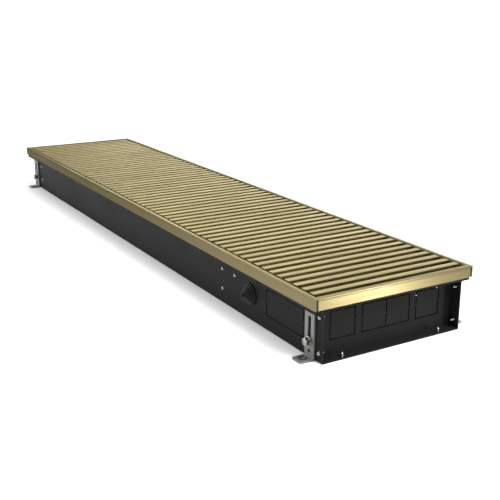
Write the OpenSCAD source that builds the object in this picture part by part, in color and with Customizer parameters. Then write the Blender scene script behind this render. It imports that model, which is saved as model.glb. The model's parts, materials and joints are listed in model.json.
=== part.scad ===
// Trench convector heater with a roll-up slat grille.
// A folded sheet trough stands on four height-adjustable feet and holds a finned
// heat exchanger, a cross-flow fan and a terminal box. A slim frame sits on the
// trough's ledge and holds the grille.
// X runs along the trough with the connection end at +X, Y across it, Z up.
// The origin is the middle of the footprint on the floor.

/* [Trough] */
// Length of the trough
trough_l = 1195; // [1000:5:1400]
// Outer width of the trough
trough_w = 230; // [226:1:260]
// Height from the floor to the top of the ledge
trough_h = 75; // [72:1:95]
// Thickness of the folded sheet
sheet_t = 1; // [0.8:0.1:1.4]
// Inner radius of the folds
fold_r = 1; // [0.5:0.1:1.5]
// Width of the ledge beyond the side wall
ledge_w = 13.5; // [11:0.5:18]
// Height of the lip folded down along the ledge
lip_h = 5; // [4:0.5:7]
// Depth of the recess in front of each end plate
recess_d = 18; // [12:1:20]

/* [Knock-outs] */
// Width of one end knock-out
ko_w = 39.5; // [30:0.5:42]
// Height of the lower slit above the floor
ko_z = 22; // [16:0.5:26]
// Distance of the upper slit below the ledge
ko_drop = 14.5; // [12:0.5:20]
// Centre of the outer end knock-outs from the middle
ko_outer_y = 71; // [66:0.5:80]
// Width of the laser-cut slit
slit_w = 1.8; // [1.2:0.1:2.2]
// Width of the bridges that hold a knock-out
bridge_w = 2.5; // [1.5:0.5:4]
// Length of the side knock-out
ko_side_l = 89.5; // [60:0.5:95]
// Distance of the side knock-out from the trough's end
ko_side_x = 42.5; // [40:0.5:48]

/* [Frame] */
// Height of the frame above the ledge
frame_h = 16; // [14:0.5:20]
// Wall of the frame profiles
frame_t = 2; // [1.4:0.1:2.4]
// Inner leg of the frame profiles
frame_leg_t = 1.5; // [1:0.1:2]
// Width of the long profiles seen from above
frame_side_w = 5.5; // [5:0.1:7]
// Width of the end profiles seen from above
frame_end_w = 7; // [6:0.1:9]
// Overhang of the frame past the trough's side wall
frame_over_side = 15; // [14:0.5:19]
// Overhang of the frame past the trough's end
frame_over_end = 4; // [2:0.5:6]

/* [Grille] */
// Number of slats
slat_n = 61; // [45:1:70]
// Width of a slat's top
slat_w = 10; // [8:0.5:11]
// Height of a slat
slat_h = 14; // [12:0.5:17]
// Wall of the slat profile
slat_t = 1.2; // [1:0.1:1.6]
// Rounding of a slat's upper edges
slat_r = 0.8; // [0.4:0.1:1]
// Space between the end frame and the outer slat
end_gap = 9.5; // [6:0.5:12]
// Space between a slat's end and the frame
slat_end_gap = 1.5; // [1:0.1:3]
// Radius of the tie wires
tie_r = 1.5; // [1:0.1:2]
// Outer radius of the spacer sleeves
sleeve_r = 4; // [3:0.1:4.5]
// Distance of the sleeve's top below the slat's top
sleeve_drop = 4.5; // [4:0.1:5]
// Distance of the outer tie wires from the middle one
tie_y = 85; // [60:1:95]
// Thickness of the rest strips
strip_t = 1.5; // [1:0.1:2]
// Width of the rest strips
strip_w = 8; // [6:0.5:8.5]

/* [Feet] */
// Distance of a foot's middle from the trough's end
foot_x = 25; // [24:0.5:26]
// Width of a foot bracket
foot_w = 20.5; // [18:0.5:22]
// Thickness of a foot bracket
foot_t = 2.5; // [2:0.1:3]
// Height of a foot bracket
foot_h = 68; // [64:0.5:69]
// Reach of a foot's flange out of the side wall
foot_reach = 22.5; // [20:0.5:26]
// Width of the adjusting slot
slot_w = 6.4; // [6.4:0.1:7]
// Top of the adjusting slot above the floor
slot_top = 58.4; // [56:0.2:60]
// Height of the clamp bolt above the floor
bolt_z = 24; // [22:0.5:26]
// Radius of the clamp bolt
bolt_r = 3; // [2.5:0.1:3.1]
// Distance of the anchor hole from the side wall
anchor_out = 12; // [11:0.5:14]
// Radius of the anchor hole in the damping bush
anchor_r = 3.25; // [2.5:0.05:3.5]

/* [Heat exchanger] */
// Depth of a fin across the trough
fin_d = 92; // [86:1:96]
// Height of a fin
fin_h = 48; // [46:1:54]
// Thickness of a fin
fin_t = 0.4; // [0.3:0.1:0.6]
// Pitch of the fins
fin_pitch = 6; // [5:0.5:10]
// Radius of the water tubes
tube_r = 6; // [5:0.1:7]
// Wall of the water tubes
tube_t = 0.8; // [0.6:0.1:1.2]
// Distance between the tube columns
tube_dy = 46; // [40:1:50]
// Distance between the tube rows
tube_dz = 24; // [20:1:26]
// Width across the flats of a pipe connector
conn_af = 24; // [22:0.5:27]
// Radius of the connector's tapped hole
conn_r = 9.3; // [8.5:0.1:10]

/* [Fan] */
// Radius of the cross-flow rotor
rotor_r = 24; // [22:0.5:25]
// Number of rotor blades
blade_n = 24; // [16:1:30]
// Height of the rotor's axis above the floor
fan_z = 38; // [36:0.5:40]
// Distance of the rotor's axis from the front wall
fan_in = 53; // [52:0.5:55]
// Radius of the motor
motor_r = 23; // [20:0.5:24]

/* [Hidden] */
$fn = 48;

// Overrun of every cut
over = 1;
// Running clearance of a shaft in its bore
run_gap = 0.05;
// Clearance of a piece seated in a hole
seat_gap = 0.1;
// Clearance between pieces that slide on each other
slide_gap = 0.2;

// Colours
body_col = [0.13, 0.13, 0.14];
gold_col = [0.68, 0.59, 0.38];
slat_col = [0.76, 0.70, 0.51];
silver_col = [0.66, 0.66, 0.64];
bright_col = [0.85, 0.85, 0.86];
rubber_col = [0.07, 0.07, 0.07];
copper_col = [0.72, 0.42, 0.27];
fin_col = [0.80, 0.81, 0.82];
brass_col = [0.78, 0.62, 0.30];
plastic_col = [0.72, 0.73, 0.74];
block_col = [0.85, 0.84, 0.78];

// Trough
half_l = trough_l / 2;
half_w = trough_w / 2;
inner_w = half_w - sheet_t;
fold_out = fold_r + sheet_t;
plate_x = half_l - recess_d;
corner_relief = 4;
ko_h = trough_h - ko_drop - ko_z;

// Frame
frame_x = half_l + frame_over_end;
frame_y = half_w + frame_over_side;
frame_top = trough_h + frame_h;
open_x = frame_x - frame_end_w;
open_y = frame_y - frame_side_w;
frame_edge_r = 0.7;
groove_drop = 2.6;
groove_h = 0.7;
groove_d = 0.5;
key_t = 1.6;
key_h = 9;
key_leg = 24;
key_foot = 3;

// Grille
roll_n = 12;
strip_y = open_y - strip_w - slide_gap;
slat_z = trough_h + strip_t;
slat_top = slat_z + slat_h;
slat_len = 2 * (open_y - slat_end_gap);
first_x = open_x - end_gap - slat_w / 2;
pitch = 2 * first_x / (slat_n - 1);
sleeve_l = pitch - slat_w - 2 * run_gap;
tie_z = slat_top - sleeve_drop - sleeve_r;
field_n = slat_n - roll_n;
ferrule_r = 3;
ferrule_l = 4;

// Feet
foot_cx = half_l - foot_x;
leg_y = half_w + slide_gap;
foot_edge_r = 3;
pilot_z = 10.6;
pilot_r = 2.5;
bush_r = 4.4;
bush_collar_r = 5.6;
bush_collar_t = 1.2;
washer_r = 7;
washer_t = 1.6;
spring_r = 5.4;
spring_t = 1.7;
head_af = 10;
head_h = 4;
nut_af = 10;
hex_n = 6;
nut_h = 5;
bolt_tail = 2;
rivet_z = 56.4;
rivet_r = 2.5;
rivet_tail = 1.4;

// Screws through the sheet
screw_r = 1.9;
screw_head_r = 3;
screw_head_h = 2.1;
screw_tip = 8;
side_screw_tip = 4.5;
tip_cone = 2.5;
side_screw_x = 7.5;
side_screw_low = 12.8;
side_screw_drop = 14;
side_screw_z = [side_screw_low, trough_h - side_screw_drop];
bottom_screw_x = 4;
bottom_screw_y = 81;
sink_r = 3;
wall_screw_in = 4;
bracket_near_x = 256.5;
bracket_far_x = 57.5;
bracket_screw_z = [23, 54];
spare_hole_x = 380.5;
spare_hole_r = 1.5;

// Cable grommet
grommet_beside = 4;
grommet_z = 39.5;
grommet_r = 16;
grommet_out = 12;
grommet_steps = 5;
grommet_tip_r = 6;
grommet_neck_r = 12;
grommet_collar_r = 14.5;
grommet_collar_t = 2.5;
cable_r = 3.5;

// Heat exchanger
near_x = half_l - bracket_near_x;
far_x = bracket_far_x - half_l;
fin_rear_gap = 20;
fin_z = 9;
ex_y = inner_w - fin_rear_gap - fin_d / 2;
row_z = fin_z + fin_h / 2;
stand_t = 1.2;
stand_lip = 10;
fin_near_in = 17;
fin_far_in = 14;
ex_near_x = near_x - fin_near_in;
ex_far_x = far_x + fin_far_in;
fin_first = ex_far_x + fin_pitch;
fin_n = floor((ex_near_x - stand_t - fin_first) / fin_pitch);
tube_past = 3;
socket_t = 0.5;
socket_lap = 0.6;
conn_l = 30;
conn_bore_l = 15;
conn_out = 24;
conn_x = near_x + conn_out;
conn_lap = 8;
vent_r = 4;
vent_h = 8;
vent_cap_r = 2.6;
vent_cap_h = 2.5;

// Fan
fan_y = fan_in - half_w;
rotor_gap = 4;
rotor_near_in = 109;
rotor_far_in = 22;
rotor_near_x = near_x - rotor_near_in;
rotor_far_x = far_x + rotor_far_in;
disc_t = 1.5;
disc_n = 8;
blade_d = 5;
blade_t = 0.8;
blade_r = 3.4;
rim_w = 0.6;
scroll_t = 1;
scroll_r = rotor_r + rotor_gap;
scroll_from_angle = 115;
scroll_to_angle = 270;
outlet_w = 48;
cutoff_gap = 2.5;
cutoff_from_angle = 18;
cutoff_to_angle = 42;
plate_t = 1.2;
fan_plate_x = 5;
fan_plate_back = 33;
fan_plate_top = 28;
shaft_r = 3;
stub_l = 13;
bearing_r = 8;
bearing_flange_r = 10;
bearing_flange_t = 1.5;
bearing_in = 3.5;
hub_r = 9;
hub_l = 12;
hub_hole_r = 12;
motor_gap = 7;
motor_rib_n = 9;
motor_rib_d = 1.2;
bracket_leg = 24;
bracket_z = 15;
bracket_top = 62;
bracket_reach = 50;
motor_bracket_reach = 84;

// Terminal box
box_l = 52;
box_d = 36;
box_z = 22;
box_h = 38;
box_t = 2;
lid_t = 3;
block_l = 36;
block_d = 18;
block_h = 16;
block_poles = 4;
lid_screw_in = 5;

// Quarter of a ring in the first quadrant: a fold seen along its line
module elbow(t) {
    intersection() {
        difference() {
            circle(fold_r + t);
            circle(fold_r);
        }
        square(fold_r + t);
    }
}

// Puts a child's outline, drawn in Y and Z, along X
module along_x(x, l) {
    translate([x, 0, 0]) rotate([90, 0, 90]) linear_extrude(l) children();
}

// Puts a child's outline, drawn in X and Z, along Y and centres it
module along_y(l) {
    translate([0, l / 2, 0]) rotate([90, 0, 0]) linear_extrude(l) children();
}

// Stands a child on the outside of the front wall, its +Z pointing out
module on_front(x, z) {
    translate([x, -half_w, z]) rotate([90, 0, 0]) children();
}

// A child and its mirror image across the X-Z plane
module both_sides() {
    children();
    mirror([0, 1, 0]) children();
}

// A child and its mirror image across the Y-Z plane
module both_ends() {
    children();
    mirror([1, 0, 0]) children();
}

// Four slits, each broken by a bridge, round a panel of w by h in the X-Y plane
module knock_out_slits(w, h) {
    depth = sheet_t + 2 * over;
    for (s = [-1, 1]) {
        for (e = [-1, 1]) {
            run = (w + slit_w - bridge_w) / 2;
            rise = (h + slit_w - bridge_w) / 2;
            translate([e * (bridge_w + run) / 2, s * h / 2, 0]) cube([run, slit_w, depth], center = true);
            translate([s * w / 2, e * (bridge_w + rise) / 2, 0]) cube([slit_w, rise, depth], center = true);
        }
    }
}

// Dome-headed screw: head above z = 0, shank with a point below it
module dome_screw(shank_l) {
    cap_r = (screw_head_r * screw_head_r + screw_head_h * screw_head_h) / (2 * screw_head_h);
    rotate_extrude() {
        intersection() {
            translate([0, screw_head_h - cap_r]) circle(cap_r);
            square([screw_head_r, screw_head_h]);
        }
        translate([0, tip_cone - shank_l]) square([screw_r, shank_l - tip_cone]);
        polygon([[0, -shank_l], [screw_r, tip_cone - shank_l], [0, tip_cone - shank_l]]);
    }
}

// Trough: floor, side walls, ledges and lips folded from one sheet

module trough_half_outline() {
    square([half_w - fold_out, sheet_t]);
    translate([half_w - fold_out, fold_out]) rotate(-90) elbow(sheet_t);
    translate([inner_w, fold_out]) square([sheet_t, trough_h - 2 * fold_out]);
    translate([half_w + fold_r, trough_h - fold_out]) rotate(90) elbow(sheet_t);
    translate([half_w + fold_r, trough_h - sheet_t]) square([ledge_w - fold_r - fold_out, sheet_t]);
    translate([half_w + ledge_w - fold_out, trough_h - fold_out]) elbow(sheet_t);
    translate([half_w + ledge_w - sheet_t, trough_h - lip_h]) square([sheet_t, lip_h - fold_out]);
}

module side_hole(x, z, r) {
    on_front(x, z) cylinder(r = r, h = 2 * (sheet_t + over), center = true);
}

module trough_shell() {
    color(body_col) difference() {
        along_x(-half_l, trough_l) {
            trough_half_outline();
            mirror([1, 0]) trough_half_outline();
        }
        both_sides() on_front(half_l - ko_side_x - ko_side_l / 2, ko_z + ko_h / 2)
            translate([0, 0, -sheet_t / 2]) knock_out_slits(ko_side_l, ko_h);
        both_ends() both_sides() {
            for (z = side_screw_z) side_hole(half_l - side_screw_x, z, screw_r + seat_gap);
            side_hole(foot_cx, bolt_z, bolt_r + seat_gap);
            side_hole(foot_cx, rivet_z, rivet_r);
            translate([half_l - bottom_screw_x, bottom_screw_y, 0]) {
                cylinder(r = screw_r + seat_gap, h = 2 * (sheet_t + over), center = true);
                cylinder(r1 = sink_r + seat_gap, r2 = screw_r + seat_gap, h = sheet_t);
            }
        }
        for (z = bracket_screw_z) {
            side_hole(near_x, z, screw_r + seat_gap);
            side_hole(far_x, z, screw_r + seat_gap);
            side_hole(half_l - spare_hole_x, z, spare_hole_r);
        }
        side_hole(terminal_x, bracket_screw_z[1], screw_r + seat_gap);
        side_hole(grommet_cx, grommet_z, grommet_neck_r + seat_gap);
        both_ends() both_sides()
            translate([half_l - sheet_t - seat_gap, inner_w - seat_gap, trough_h - lip_h - seat_gap])
                cube([sheet_t + seat_gap + over, sheet_t + ledge_w + seat_gap + over, lip_h + seat_gap + over]);
    }
}

// End plate: a pan whose flanges are turned outward, with a lip over the ends of the ledges
module end_plate() {
    flange_x = recess_d;
    difference() {
        union() {
            translate([plate_x - sheet_t, -inner_w, sheet_t])
                cube([sheet_t, 2 * inner_w, trough_h - sheet_t]);
            translate([plate_x, -inner_w, sheet_t]) cube([flange_x, 2 * inner_w, sheet_t]);
            for (s = [0, 1]) mirror([0, s, 0])
                translate([plate_x, inner_w - sheet_t, sheet_t + corner_relief])
                    cube([flange_x, sheet_t, trough_h - 2 * (sheet_t + corner_relief)]);
            along_y(2 * inner_w) {
                translate([plate_x, trough_h - sheet_t]) square([flange_x - fold_out, sheet_t]);
                translate([half_l - fold_out, trough_h - fold_out]) elbow(sheet_t);
            }
            along_y(2 * (half_w + ledge_w))
                translate([half_l - sheet_t, trough_h - lip_h]) square([sheet_t, lip_h - fold_out]);
            for (s = [0, 1]) mirror([0, s, 0]) translate([half_l - sheet_t, inner_w, trough_h - lip_h])
                cube([sheet_t, sheet_t + ledge_w, lip_h]);
        }
        for (y = [-ko_outer_y, -ko_w / 2, ko_w / 2, ko_outer_y])
            translate([plate_x - sheet_t / 2, y, ko_z + ko_h / 2])
                rotate([90, 0, 90]) knock_out_slits(ko_w, ko_h);
        for (z = side_screw_z) translate([half_l - side_screw_x, 0, z]) rotate([90, 0, 0])
            cylinder(r = screw_r + seat_gap, h = trough_w, center = true);
        for (s = [-1, 1]) translate([half_l - bottom_screw_x, s * bottom_screw_y, 0])
            cylinder(r = screw_r + seat_gap, h = 2 * sheet_t + over);
    }
}

module end_plate_near() {
    color(body_col) end_plate();
}

module end_plate_far() {
    color(body_col) mirror([1, 0, 0]) end_plate();
}

// Frame: an inverted channel with its outer top edge rounded and a groove below it.
// x grows outward from the inner leg, and w is the width seen from above.
module frame_outline(w) {
    difference() {
        union() {
            square([frame_leg_t, frame_h]);
            translate([w - frame_t, 0]) square([frame_t, frame_h - frame_edge_r]);
            translate([0, frame_h - frame_t]) square([w - frame_edge_r, frame_t]);
            translate([w - frame_edge_r, frame_h - frame_edge_r]) circle(frame_edge_r);
        }
        translate([w - groove_d, frame_h - groove_drop - groove_h]) square([groove_d + over, groove_h]);
    }
}

module frame_side() {
    notch_x = frame_x - frame_end_w + frame_leg_t;
    notch_l = frame_end_w - frame_leg_t - frame_t;
    color(gold_col) difference() {
        translate([-frame_x, open_y, trough_h]) rotate([90, 0, 90])
            linear_extrude(2 * frame_x) frame_outline(frame_side_w);
        both_ends() translate([notch_x, open_y - over, trough_h + key_foot - seat_gap])
            cube([notch_l, frame_leg_t + over + seat_gap, key_h + 2 * seat_gap]);
    }
}

module frame_side_front() {
    mirror([0, 1, 0]) frame_side();
}

module frame_side_rear() {
    frame_side();
}

module frame_end_near() {
    color(gold_col) translate([open_x, 0, trough_h]) along_y(2 * open_y) frame_outline(frame_end_w);
}

module frame_end_far() {
    mirror([1, 0, 0]) frame_end_near();
}

// Angle keys that lie in the hollows of two profiles at each corner
module frame_corner_keys() {
    key_x = open_x + (frame_end_w + frame_leg_t - frame_t - key_t) / 2;
    key_y = open_y + (frame_side_w + frame_leg_t - frame_t - key_t) / 2;
    color(silver_col) both_ends() both_sides() translate([0, 0, trough_h + key_foot]) {
        translate([key_x, key_y + key_t - key_leg, 0]) cube([key_t, key_leg, key_h]);
        translate([key_x + key_t - key_leg, key_y, 0]) cube([key_leg, key_t, key_h]);
    }
}

module grille_rest_strips() {
    color(rubber_col) both_sides() translate([-open_x, strip_y, trough_h])
        cube([2 * open_x, strip_w, strip_t]);
}

// Cable grommet: stepped cone outside, neck in the wall, collar inside
module cable_grommet() {
    step_h = grommet_out / grommet_steps;
    step_r = (grommet_r - grommet_tip_r) / (grommet_steps - 1);
    color(rubber_col) on_front(grommet_cx, grommet_z) rotate_extrude() {
        for (i = [0:grommet_steps - 1])
            translate([cable_r, i * step_h]) square([grommet_r - i * step_r - cable_r, step_h]);
        translate([cable_r, -sheet_t]) square([grommet_neck_r - cable_r, sheet_t]);
        translate([cable_r, -sheet_t - grommet_collar_t])
            square([grommet_collar_r - cable_r, grommet_collar_t]);
    }
}

// Screws

module end_plate_screws() {
    color(bright_col) both_ends() both_sides() for (z = side_screw_z)
        on_front(half_l - side_screw_x, z) dome_screw(2 * sheet_t + side_screw_tip);
}

// Countersunk from below, flush with the floor, so only the points show
module bottom_screws() {
    color(bright_col) both_ends() both_sides() translate([half_l - bottom_screw_x, bottom_screw_y, 0]) {
        cylinder(r1 = sink_r, r2 = screw_r, h = sheet_t);
        cylinder(r = screw_r, h = 2 * sheet_t + screw_tip - tip_cone);
        translate([0, 0, 2 * sheet_t + screw_tip - tip_cone]) cylinder(r1 = screw_r, r2 = 0, h = tip_cone);
    }
}

module wall_screws() {
    shank = sheet_t + wall_screw_in;
    color(bright_col) {
        for (z = bracket_screw_z) for (x = [near_x, far_x]) on_front(x, z) dome_screw(shank);
        on_front(terminal_x, bracket_screw_z[1]) dome_screw(shank);
    }
}

// Foot: a folded bracket that slides on the side wall, with slot, pilot hole and anchor hole
module foot() {
    leg_in = leg_y;
    reach = half_w + foot_reach;
    difference() {
        translate([foot_cx - foot_w / 2, 0, 0]) rotate([90, 0, 90]) linear_extrude(foot_w) {
            translate([leg_in, foot_t + fold_r]) square([foot_t, foot_h - foot_t - fold_r]);
            translate([leg_in + foot_t + fold_r, foot_t + fold_r]) rotate(180) elbow(foot_t);
            translate([leg_in + foot_t + fold_r, 0]) square([reach - leg_in - foot_t - fold_r, foot_t]);
        }
        translate([foot_cx, leg_in + foot_t / 2, 0]) rotate([90, 0, 0]) {
            depth = foot_t + 2 * over;
            translate([0, bolt_z, 0]) cylinder(r = slot_w / 2, h = depth, center = true);
            translate([0, slot_top - slot_w / 2, 0]) cylinder(r = slot_w / 2, h = depth, center = true);
            translate([0, (bolt_z + slot_top - slot_w / 2) / 2, 0])
                cube([slot_w, slot_top - slot_w / 2 - bolt_z, depth], center = true);
            translate([0, pilot_z, 0]) cylinder(r = pilot_r, h = depth, center = true);
        }
        translate([foot_cx, half_w + anchor_out, 0])
            cylinder(r = bush_r + seat_gap, h = 2 * (foot_t + over), center = true);
        for (s = [-1, 1]) translate([foot_cx + s * foot_w / 2, reach, 0]) corner_cut(-s, -1);
        for (s = [-1, 1]) translate([foot_cx + s * foot_w / 2, leg_in, foot_h]) rotate([-90, 0, 0])
            corner_cut(-s, 1);
    }
}

// Rounds a corner at the origin whose material lies towards sx, sy
module corner_cut(sx, sy) {
    depth = 2 * (foot_t + over);
    difference() {
        translate([-sx * over, -sy * over, -depth / 2])
            mirror([sx < 0 ? 1 : 0, 0, 0]) mirror([0, sy < 0 ? 1 : 0, 0])
                cube([foot_edge_r + over, foot_edge_r + over, depth]);
        translate([sx * foot_edge_r, sy * foot_edge_r, 0])
            cylinder(r = foot_edge_r, h = depth + over, center = true);
    }
}

// Damping bush in the anchor hole, with its collar on the flange
module bush() {
    translate([foot_cx, half_w + anchor_out, 0]) difference() {
        union() {
            cylinder(r = bush_r, h = foot_t);
            translate([0, 0, foot_t]) cylinder(r = bush_collar_r, h = bush_collar_t);
        }
        cylinder(r = anchor_r, h = 2 * (foot_t + over) + bush_collar_t, center = true);
    }
}

module foot_near_front() {
    color(silver_col) mirror([0, 1, 0]) foot();
}

module foot_near_rear() {
    color(silver_col) foot();
}

module foot_far_front() {
    color(silver_col) mirror([1, 0, 0]) mirror([0, 1, 0]) foot();
}

module foot_far_rear() {
    color(silver_col) mirror([1, 0, 0]) foot();
}

module bush_near_front() {
    color(rubber_col) mirror([0, 1, 0]) bush();
}

module bush_near_rear() {
    color(rubber_col) bush();
}

module bush_far_front() {
    color(rubber_col) mirror([1, 0, 0]) mirror([0, 1, 0]) bush();
}

module bush_far_rear() {
    color(rubber_col) mirror([1, 0, 0]) bush();
}

// Clamp bolts: flat washer, spring washer and hexagon head outside each foot
washer_out = slide_gap + foot_t + slide_gap;
spring_out = washer_out + washer_t;
head_out = spring_out + spring_t;

module hexagon(af, h) {
    cylinder(r = af / 2 / cos(180 / hex_n), h = h, $fn = hex_n);
}

module foot_bolts() {
    tail = sheet_t + nut_h + bolt_tail;
    color(bright_col) both_ends() both_sides() on_front(foot_cx, bolt_z) {
        translate([0, 0, -tail]) cylinder(r = bolt_r, h = tail + head_out);
        translate([0, 0, head_out]) hexagon(head_af, head_h);
    }
}

module foot_washers() {
    color(bright_col) both_ends() both_sides() on_front(foot_cx, bolt_z) {
        difference() {
            translate([0, 0, washer_out]) cylinder(r = washer_r, h = washer_t);
            cylinder(r = bolt_r + seat_gap, h = head_out);
        }
        difference() {
            translate([0, 0, spring_out]) cylinder(r = spring_r, h = spring_t);
            cylinder(r = bolt_r + seat_gap, h = head_out);
            translate([bolt_r, 0, spring_out]) cube([spring_r, washer_t / 2, spring_t + over]);
        }
    }
}

module foot_weld_nuts() {
    color(silver_col) both_ends() both_sides() on_front(foot_cx, bolt_z) difference() {
        translate([0, 0, -sheet_t - nut_h]) hexagon(nut_af, nut_h);
        translate([0, 0, -sheet_t - nut_h - over]) cylinder(r = bolt_r + run_gap, h = nut_h + 2 * over);
    }
}

module foot_rivets() {
    color(bright_col) both_ends() both_sides() on_front(foot_cx, rivet_z) {
        translate([0, 0, -sheet_t]) cylinder(r = rivet_r, h = sheet_t);
        translate([0, 0, -sheet_t - rivet_tail]) cylinder(r = rivet_r - sheet_t / 2, h = rivet_tail);
    }
}

// Heat exchanger: one copper serpentine through aluminium fins, on two stands

col_y = [ex_y - tube_dy / 2, ex_y + tube_dy / 2];
low_z = row_z - tube_dz / 2;
high_z = row_z + tube_dz / 2;
bend_near_x = ex_near_x + tube_past;
bend_far_x = ex_far_x - stand_t - tube_past;

// Wall of a tube, seen along it
module tube_wall() {
    difference() {
        circle(tube_r);
        circle(tube_r - tube_t);
    }
}

module tube(x0, x1, y, z) {
    translate([x0, y, z]) rotate([0, 90, 0]) linear_extrude(x1 - x0) tube_wall();
}

// Half bend that starts and ends at x = 0 and bulges to +X, in the X-Y plane turned about X
module half_bend(ring_r, turn) {
    rotate([turn, 0, 0]) rotate([0, 0, -90]) rotate_extrude(angle = 180) translate([ring_r, 0]) children();
}

// Brazing socket round the joint of a tube and a bend at x = 0, the bend on its +X side
module socket() {
    tube_side = tube_past - slide_gap;
    translate([-tube_side, 0, 0]) rotate([0, 90, 0]) linear_extrude(tube_side + socket_lap) difference() {
        circle(tube_r + socket_t);
        circle(tube_r - tube_t / 2);
    }
}

// Straight tubes and bends, each hollow, joined by sockets
module exchanger_tubes() {
    color(copper_col) {
        for (y = col_y) {
            tube(bend_far_x, bend_near_x, y, high_z);
            tube(bend_far_x, conn_x + conn_lap, y, low_z);
            translate([bend_far_x, y, row_z]) mirror([1, 0, 0]) half_bend(tube_dz / 2, 90) tube_wall();
            for (z = [low_z, high_z]) translate([bend_far_x, y, z]) mirror([1, 0, 0]) socket();
            translate([bend_near_x, y, high_z]) socket();
        }
        translate([bend_near_x, ex_y, high_z]) half_bend(tube_dy / 2, 0) tube_wall();
    }
}

module plate_with_tube_holes(d, h, bottom) {
    difference() {
        translate([ex_y - d / 2, bottom]) square([d, h]);
        for (y = col_y) for (z = [low_z, high_z]) translate([y, z]) circle(tube_r + run_gap);
    }
}

module exchanger_fins() {
    color(fin_col) for (i = [0:fin_n - 1]) along_x(fin_first + i * fin_pitch, fin_t)
        plate_with_tube_holes(fin_d, fin_h, fin_z);
}

// Stands: the outer plates of the fin block, with a lip on the trough's floor
module exchanger_brackets() {
    top = fin_z + fin_h + stand_t;
    color(silver_col) {
        along_x(ex_near_x - stand_t, stand_t) plate_with_tube_holes(fin_d, top - sheet_t, sheet_t);
        along_x(ex_far_x, stand_t) plate_with_tube_holes(fin_d, top - sheet_t, sheet_t);
        for (x = [ex_near_x, ex_far_x - stand_lip]) for (y = col_y)
            translate([x, y - stand_lip, sheet_t]) cube([stand_lip, 2 * stand_lip, stand_t]);
    }
}

module connector(y) {
    color(brass_col) translate([conn_x, y, low_z]) rotate([0, 90, 0]) difference() {
        union() {
            rotate([0, 0, 30]) hexagon(conn_af, conn_l - conn_lap);
            cylinder(r = conn_af / 2, h = conn_l);
        }
        translate([0, 0, conn_l - conn_bore_l]) cylinder(r = conn_r, h = conn_bore_l + over);
        translate([0, 0, -over]) cylinder(r = tube_r + run_gap, h = conn_l);
    }
}

module flow_connector() {
    connector(col_y[0]);
}

module return_connector() {
    connector(col_y[1]);
}

// Bleed valve on the crown of the near bend
module air_vent() {
    crown_x = bend_near_x + tube_dy / 2;
    color(brass_col) difference() {
        translate([crown_x, ex_y, high_z]) {
            cylinder(r = vent_r, h = tube_r + vent_h);
            translate([0, 0, tube_r + vent_h]) cylinder(r = vent_cap_r, h = vent_cap_h);
        }
        translate([bend_near_x, ex_y, high_z]) half_bend(tube_dy / 2, 0) circle(tube_r + run_gap);
        translate([crown_x, ex_y, high_z - over]) cube([2 * vent_r, 2 * vent_r, 2 * over], center = true);
    }
}

// Cross-flow fan

scroll_far_x = rotor_far_x - fan_plate_x;
scroll_near_x = rotor_near_x + fan_plate_x;
scroll_l = scroll_near_x - scroll_far_x;

// Part of a ring between two angles less than 180 degrees apart
module ring_part(r, t, a0, a1) {
    reach = 2 * (r + t);
    mid = (a0 + a1) / 2;
    intersection() {
        difference() {
            circle(r + t);
            circle(r);
        }
        polygon([
            [0, 0],
            reach * [cos(a0), sin(a0)],
            reach * [cos(mid), sin(mid)],
            reach * [cos(a1), sin(a1)]
        ]);
    }
}

module fan_scroll() {
    color(silver_col) translate([0, fan_y, fan_z]) along_x(scroll_far_x, scroll_l) {
        ring_part(scroll_r, scroll_t, scroll_from_angle, scroll_to_angle);
        translate([0, -scroll_r - scroll_t]) square([outlet_w, scroll_t]);
    }
}

module fan_cutoff() {
    r = rotor_r + cutoff_gap;
    tongue_y = r * cos(cutoff_to_angle);
    tongue_z = r * sin(cutoff_to_angle);
    color(silver_col) translate([0, fan_y, fan_z]) along_x(scroll_far_x, scroll_l) {
        ring_part(r, scroll_t, cutoff_from_angle, cutoff_to_angle);
        translate([tongue_y, tongue_z]) square([outlet_w - tongue_y, scroll_t]);
    }
}

module fan_side(x, hole_r) {
    along_x(x, plate_t) difference() {
        translate([fan_y - fan_plate_back, sheet_t])
            square([fan_plate_back + outlet_w, fan_z + fan_plate_top - sheet_t]);
        translate([fan_y, fan_z]) circle(hole_r);
    }
}

module fan_end_plates() {
    color(silver_col) {
        fan_side(scroll_far_x - plate_t, bearing_r + run_gap);
        fan_side(scroll_near_x, hub_hole_r);
    }
}

// Angle brackets that carry the fan from the front wall
module fan_brackets() {
    rise = bracket_top - bracket_z;
    far_web_x = scroll_far_x - 2 * plate_t;
    color(silver_col) difference() {
        union() {
            translate([far_web_x - bracket_leg, -inner_w, bracket_z]) cube([bracket_leg, plate_t, rise]);
            translate([far_web_x, -inner_w, bracket_z])
                cube([plate_t, bracket_reach - bearing_flange_r, rise]);
            translate([near_web_x, -inner_w, bracket_z]) cube([bracket_leg, plate_t, rise]);
            translate([near_web_x, -inner_w, bracket_z]) cube([plate_t, motor_bracket_reach, rise]);
        }
        for (z = bracket_screw_z) for (x = [near_x, far_x]) on_front(x, z)
            translate([0, 0, -sheet_t - plate_t - over])
                cylinder(r = screw_r + seat_gap, h = plate_t + 2 * over);
    }
}

near_web_x = near_x - bracket_leg / 2 - plate_t;
motor_x = scroll_near_x + motor_gap;
motor_l = near_web_x - motor_x;

// Motor with cooling ribs round its can and a bearing nose with the shaft's bore
module fan_motor() {
    rib = motor_l / (2 * motor_rib_n + 1);
    nose_l = motor_gap - plate_t - over;
    color(body_col) translate([motor_x, fan_y, fan_z]) rotate([0, 90, 0]) difference() {
        union() {
            cylinder(r = motor_r - motor_rib_d, h = motor_l);
            for (i = [0:motor_rib_n]) translate([0, 0, 2 * i * rib]) cylinder(r = motor_r, h = rib);
            translate([0, 0, -nose_l]) cylinder(r = hub_r, h = nose_l + over);
        }
        translate([0, 0, -nose_l - over]) cylinder(r = shaft_r + run_gap, h = nose_l + motor_l / 2);
    }
}

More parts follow.
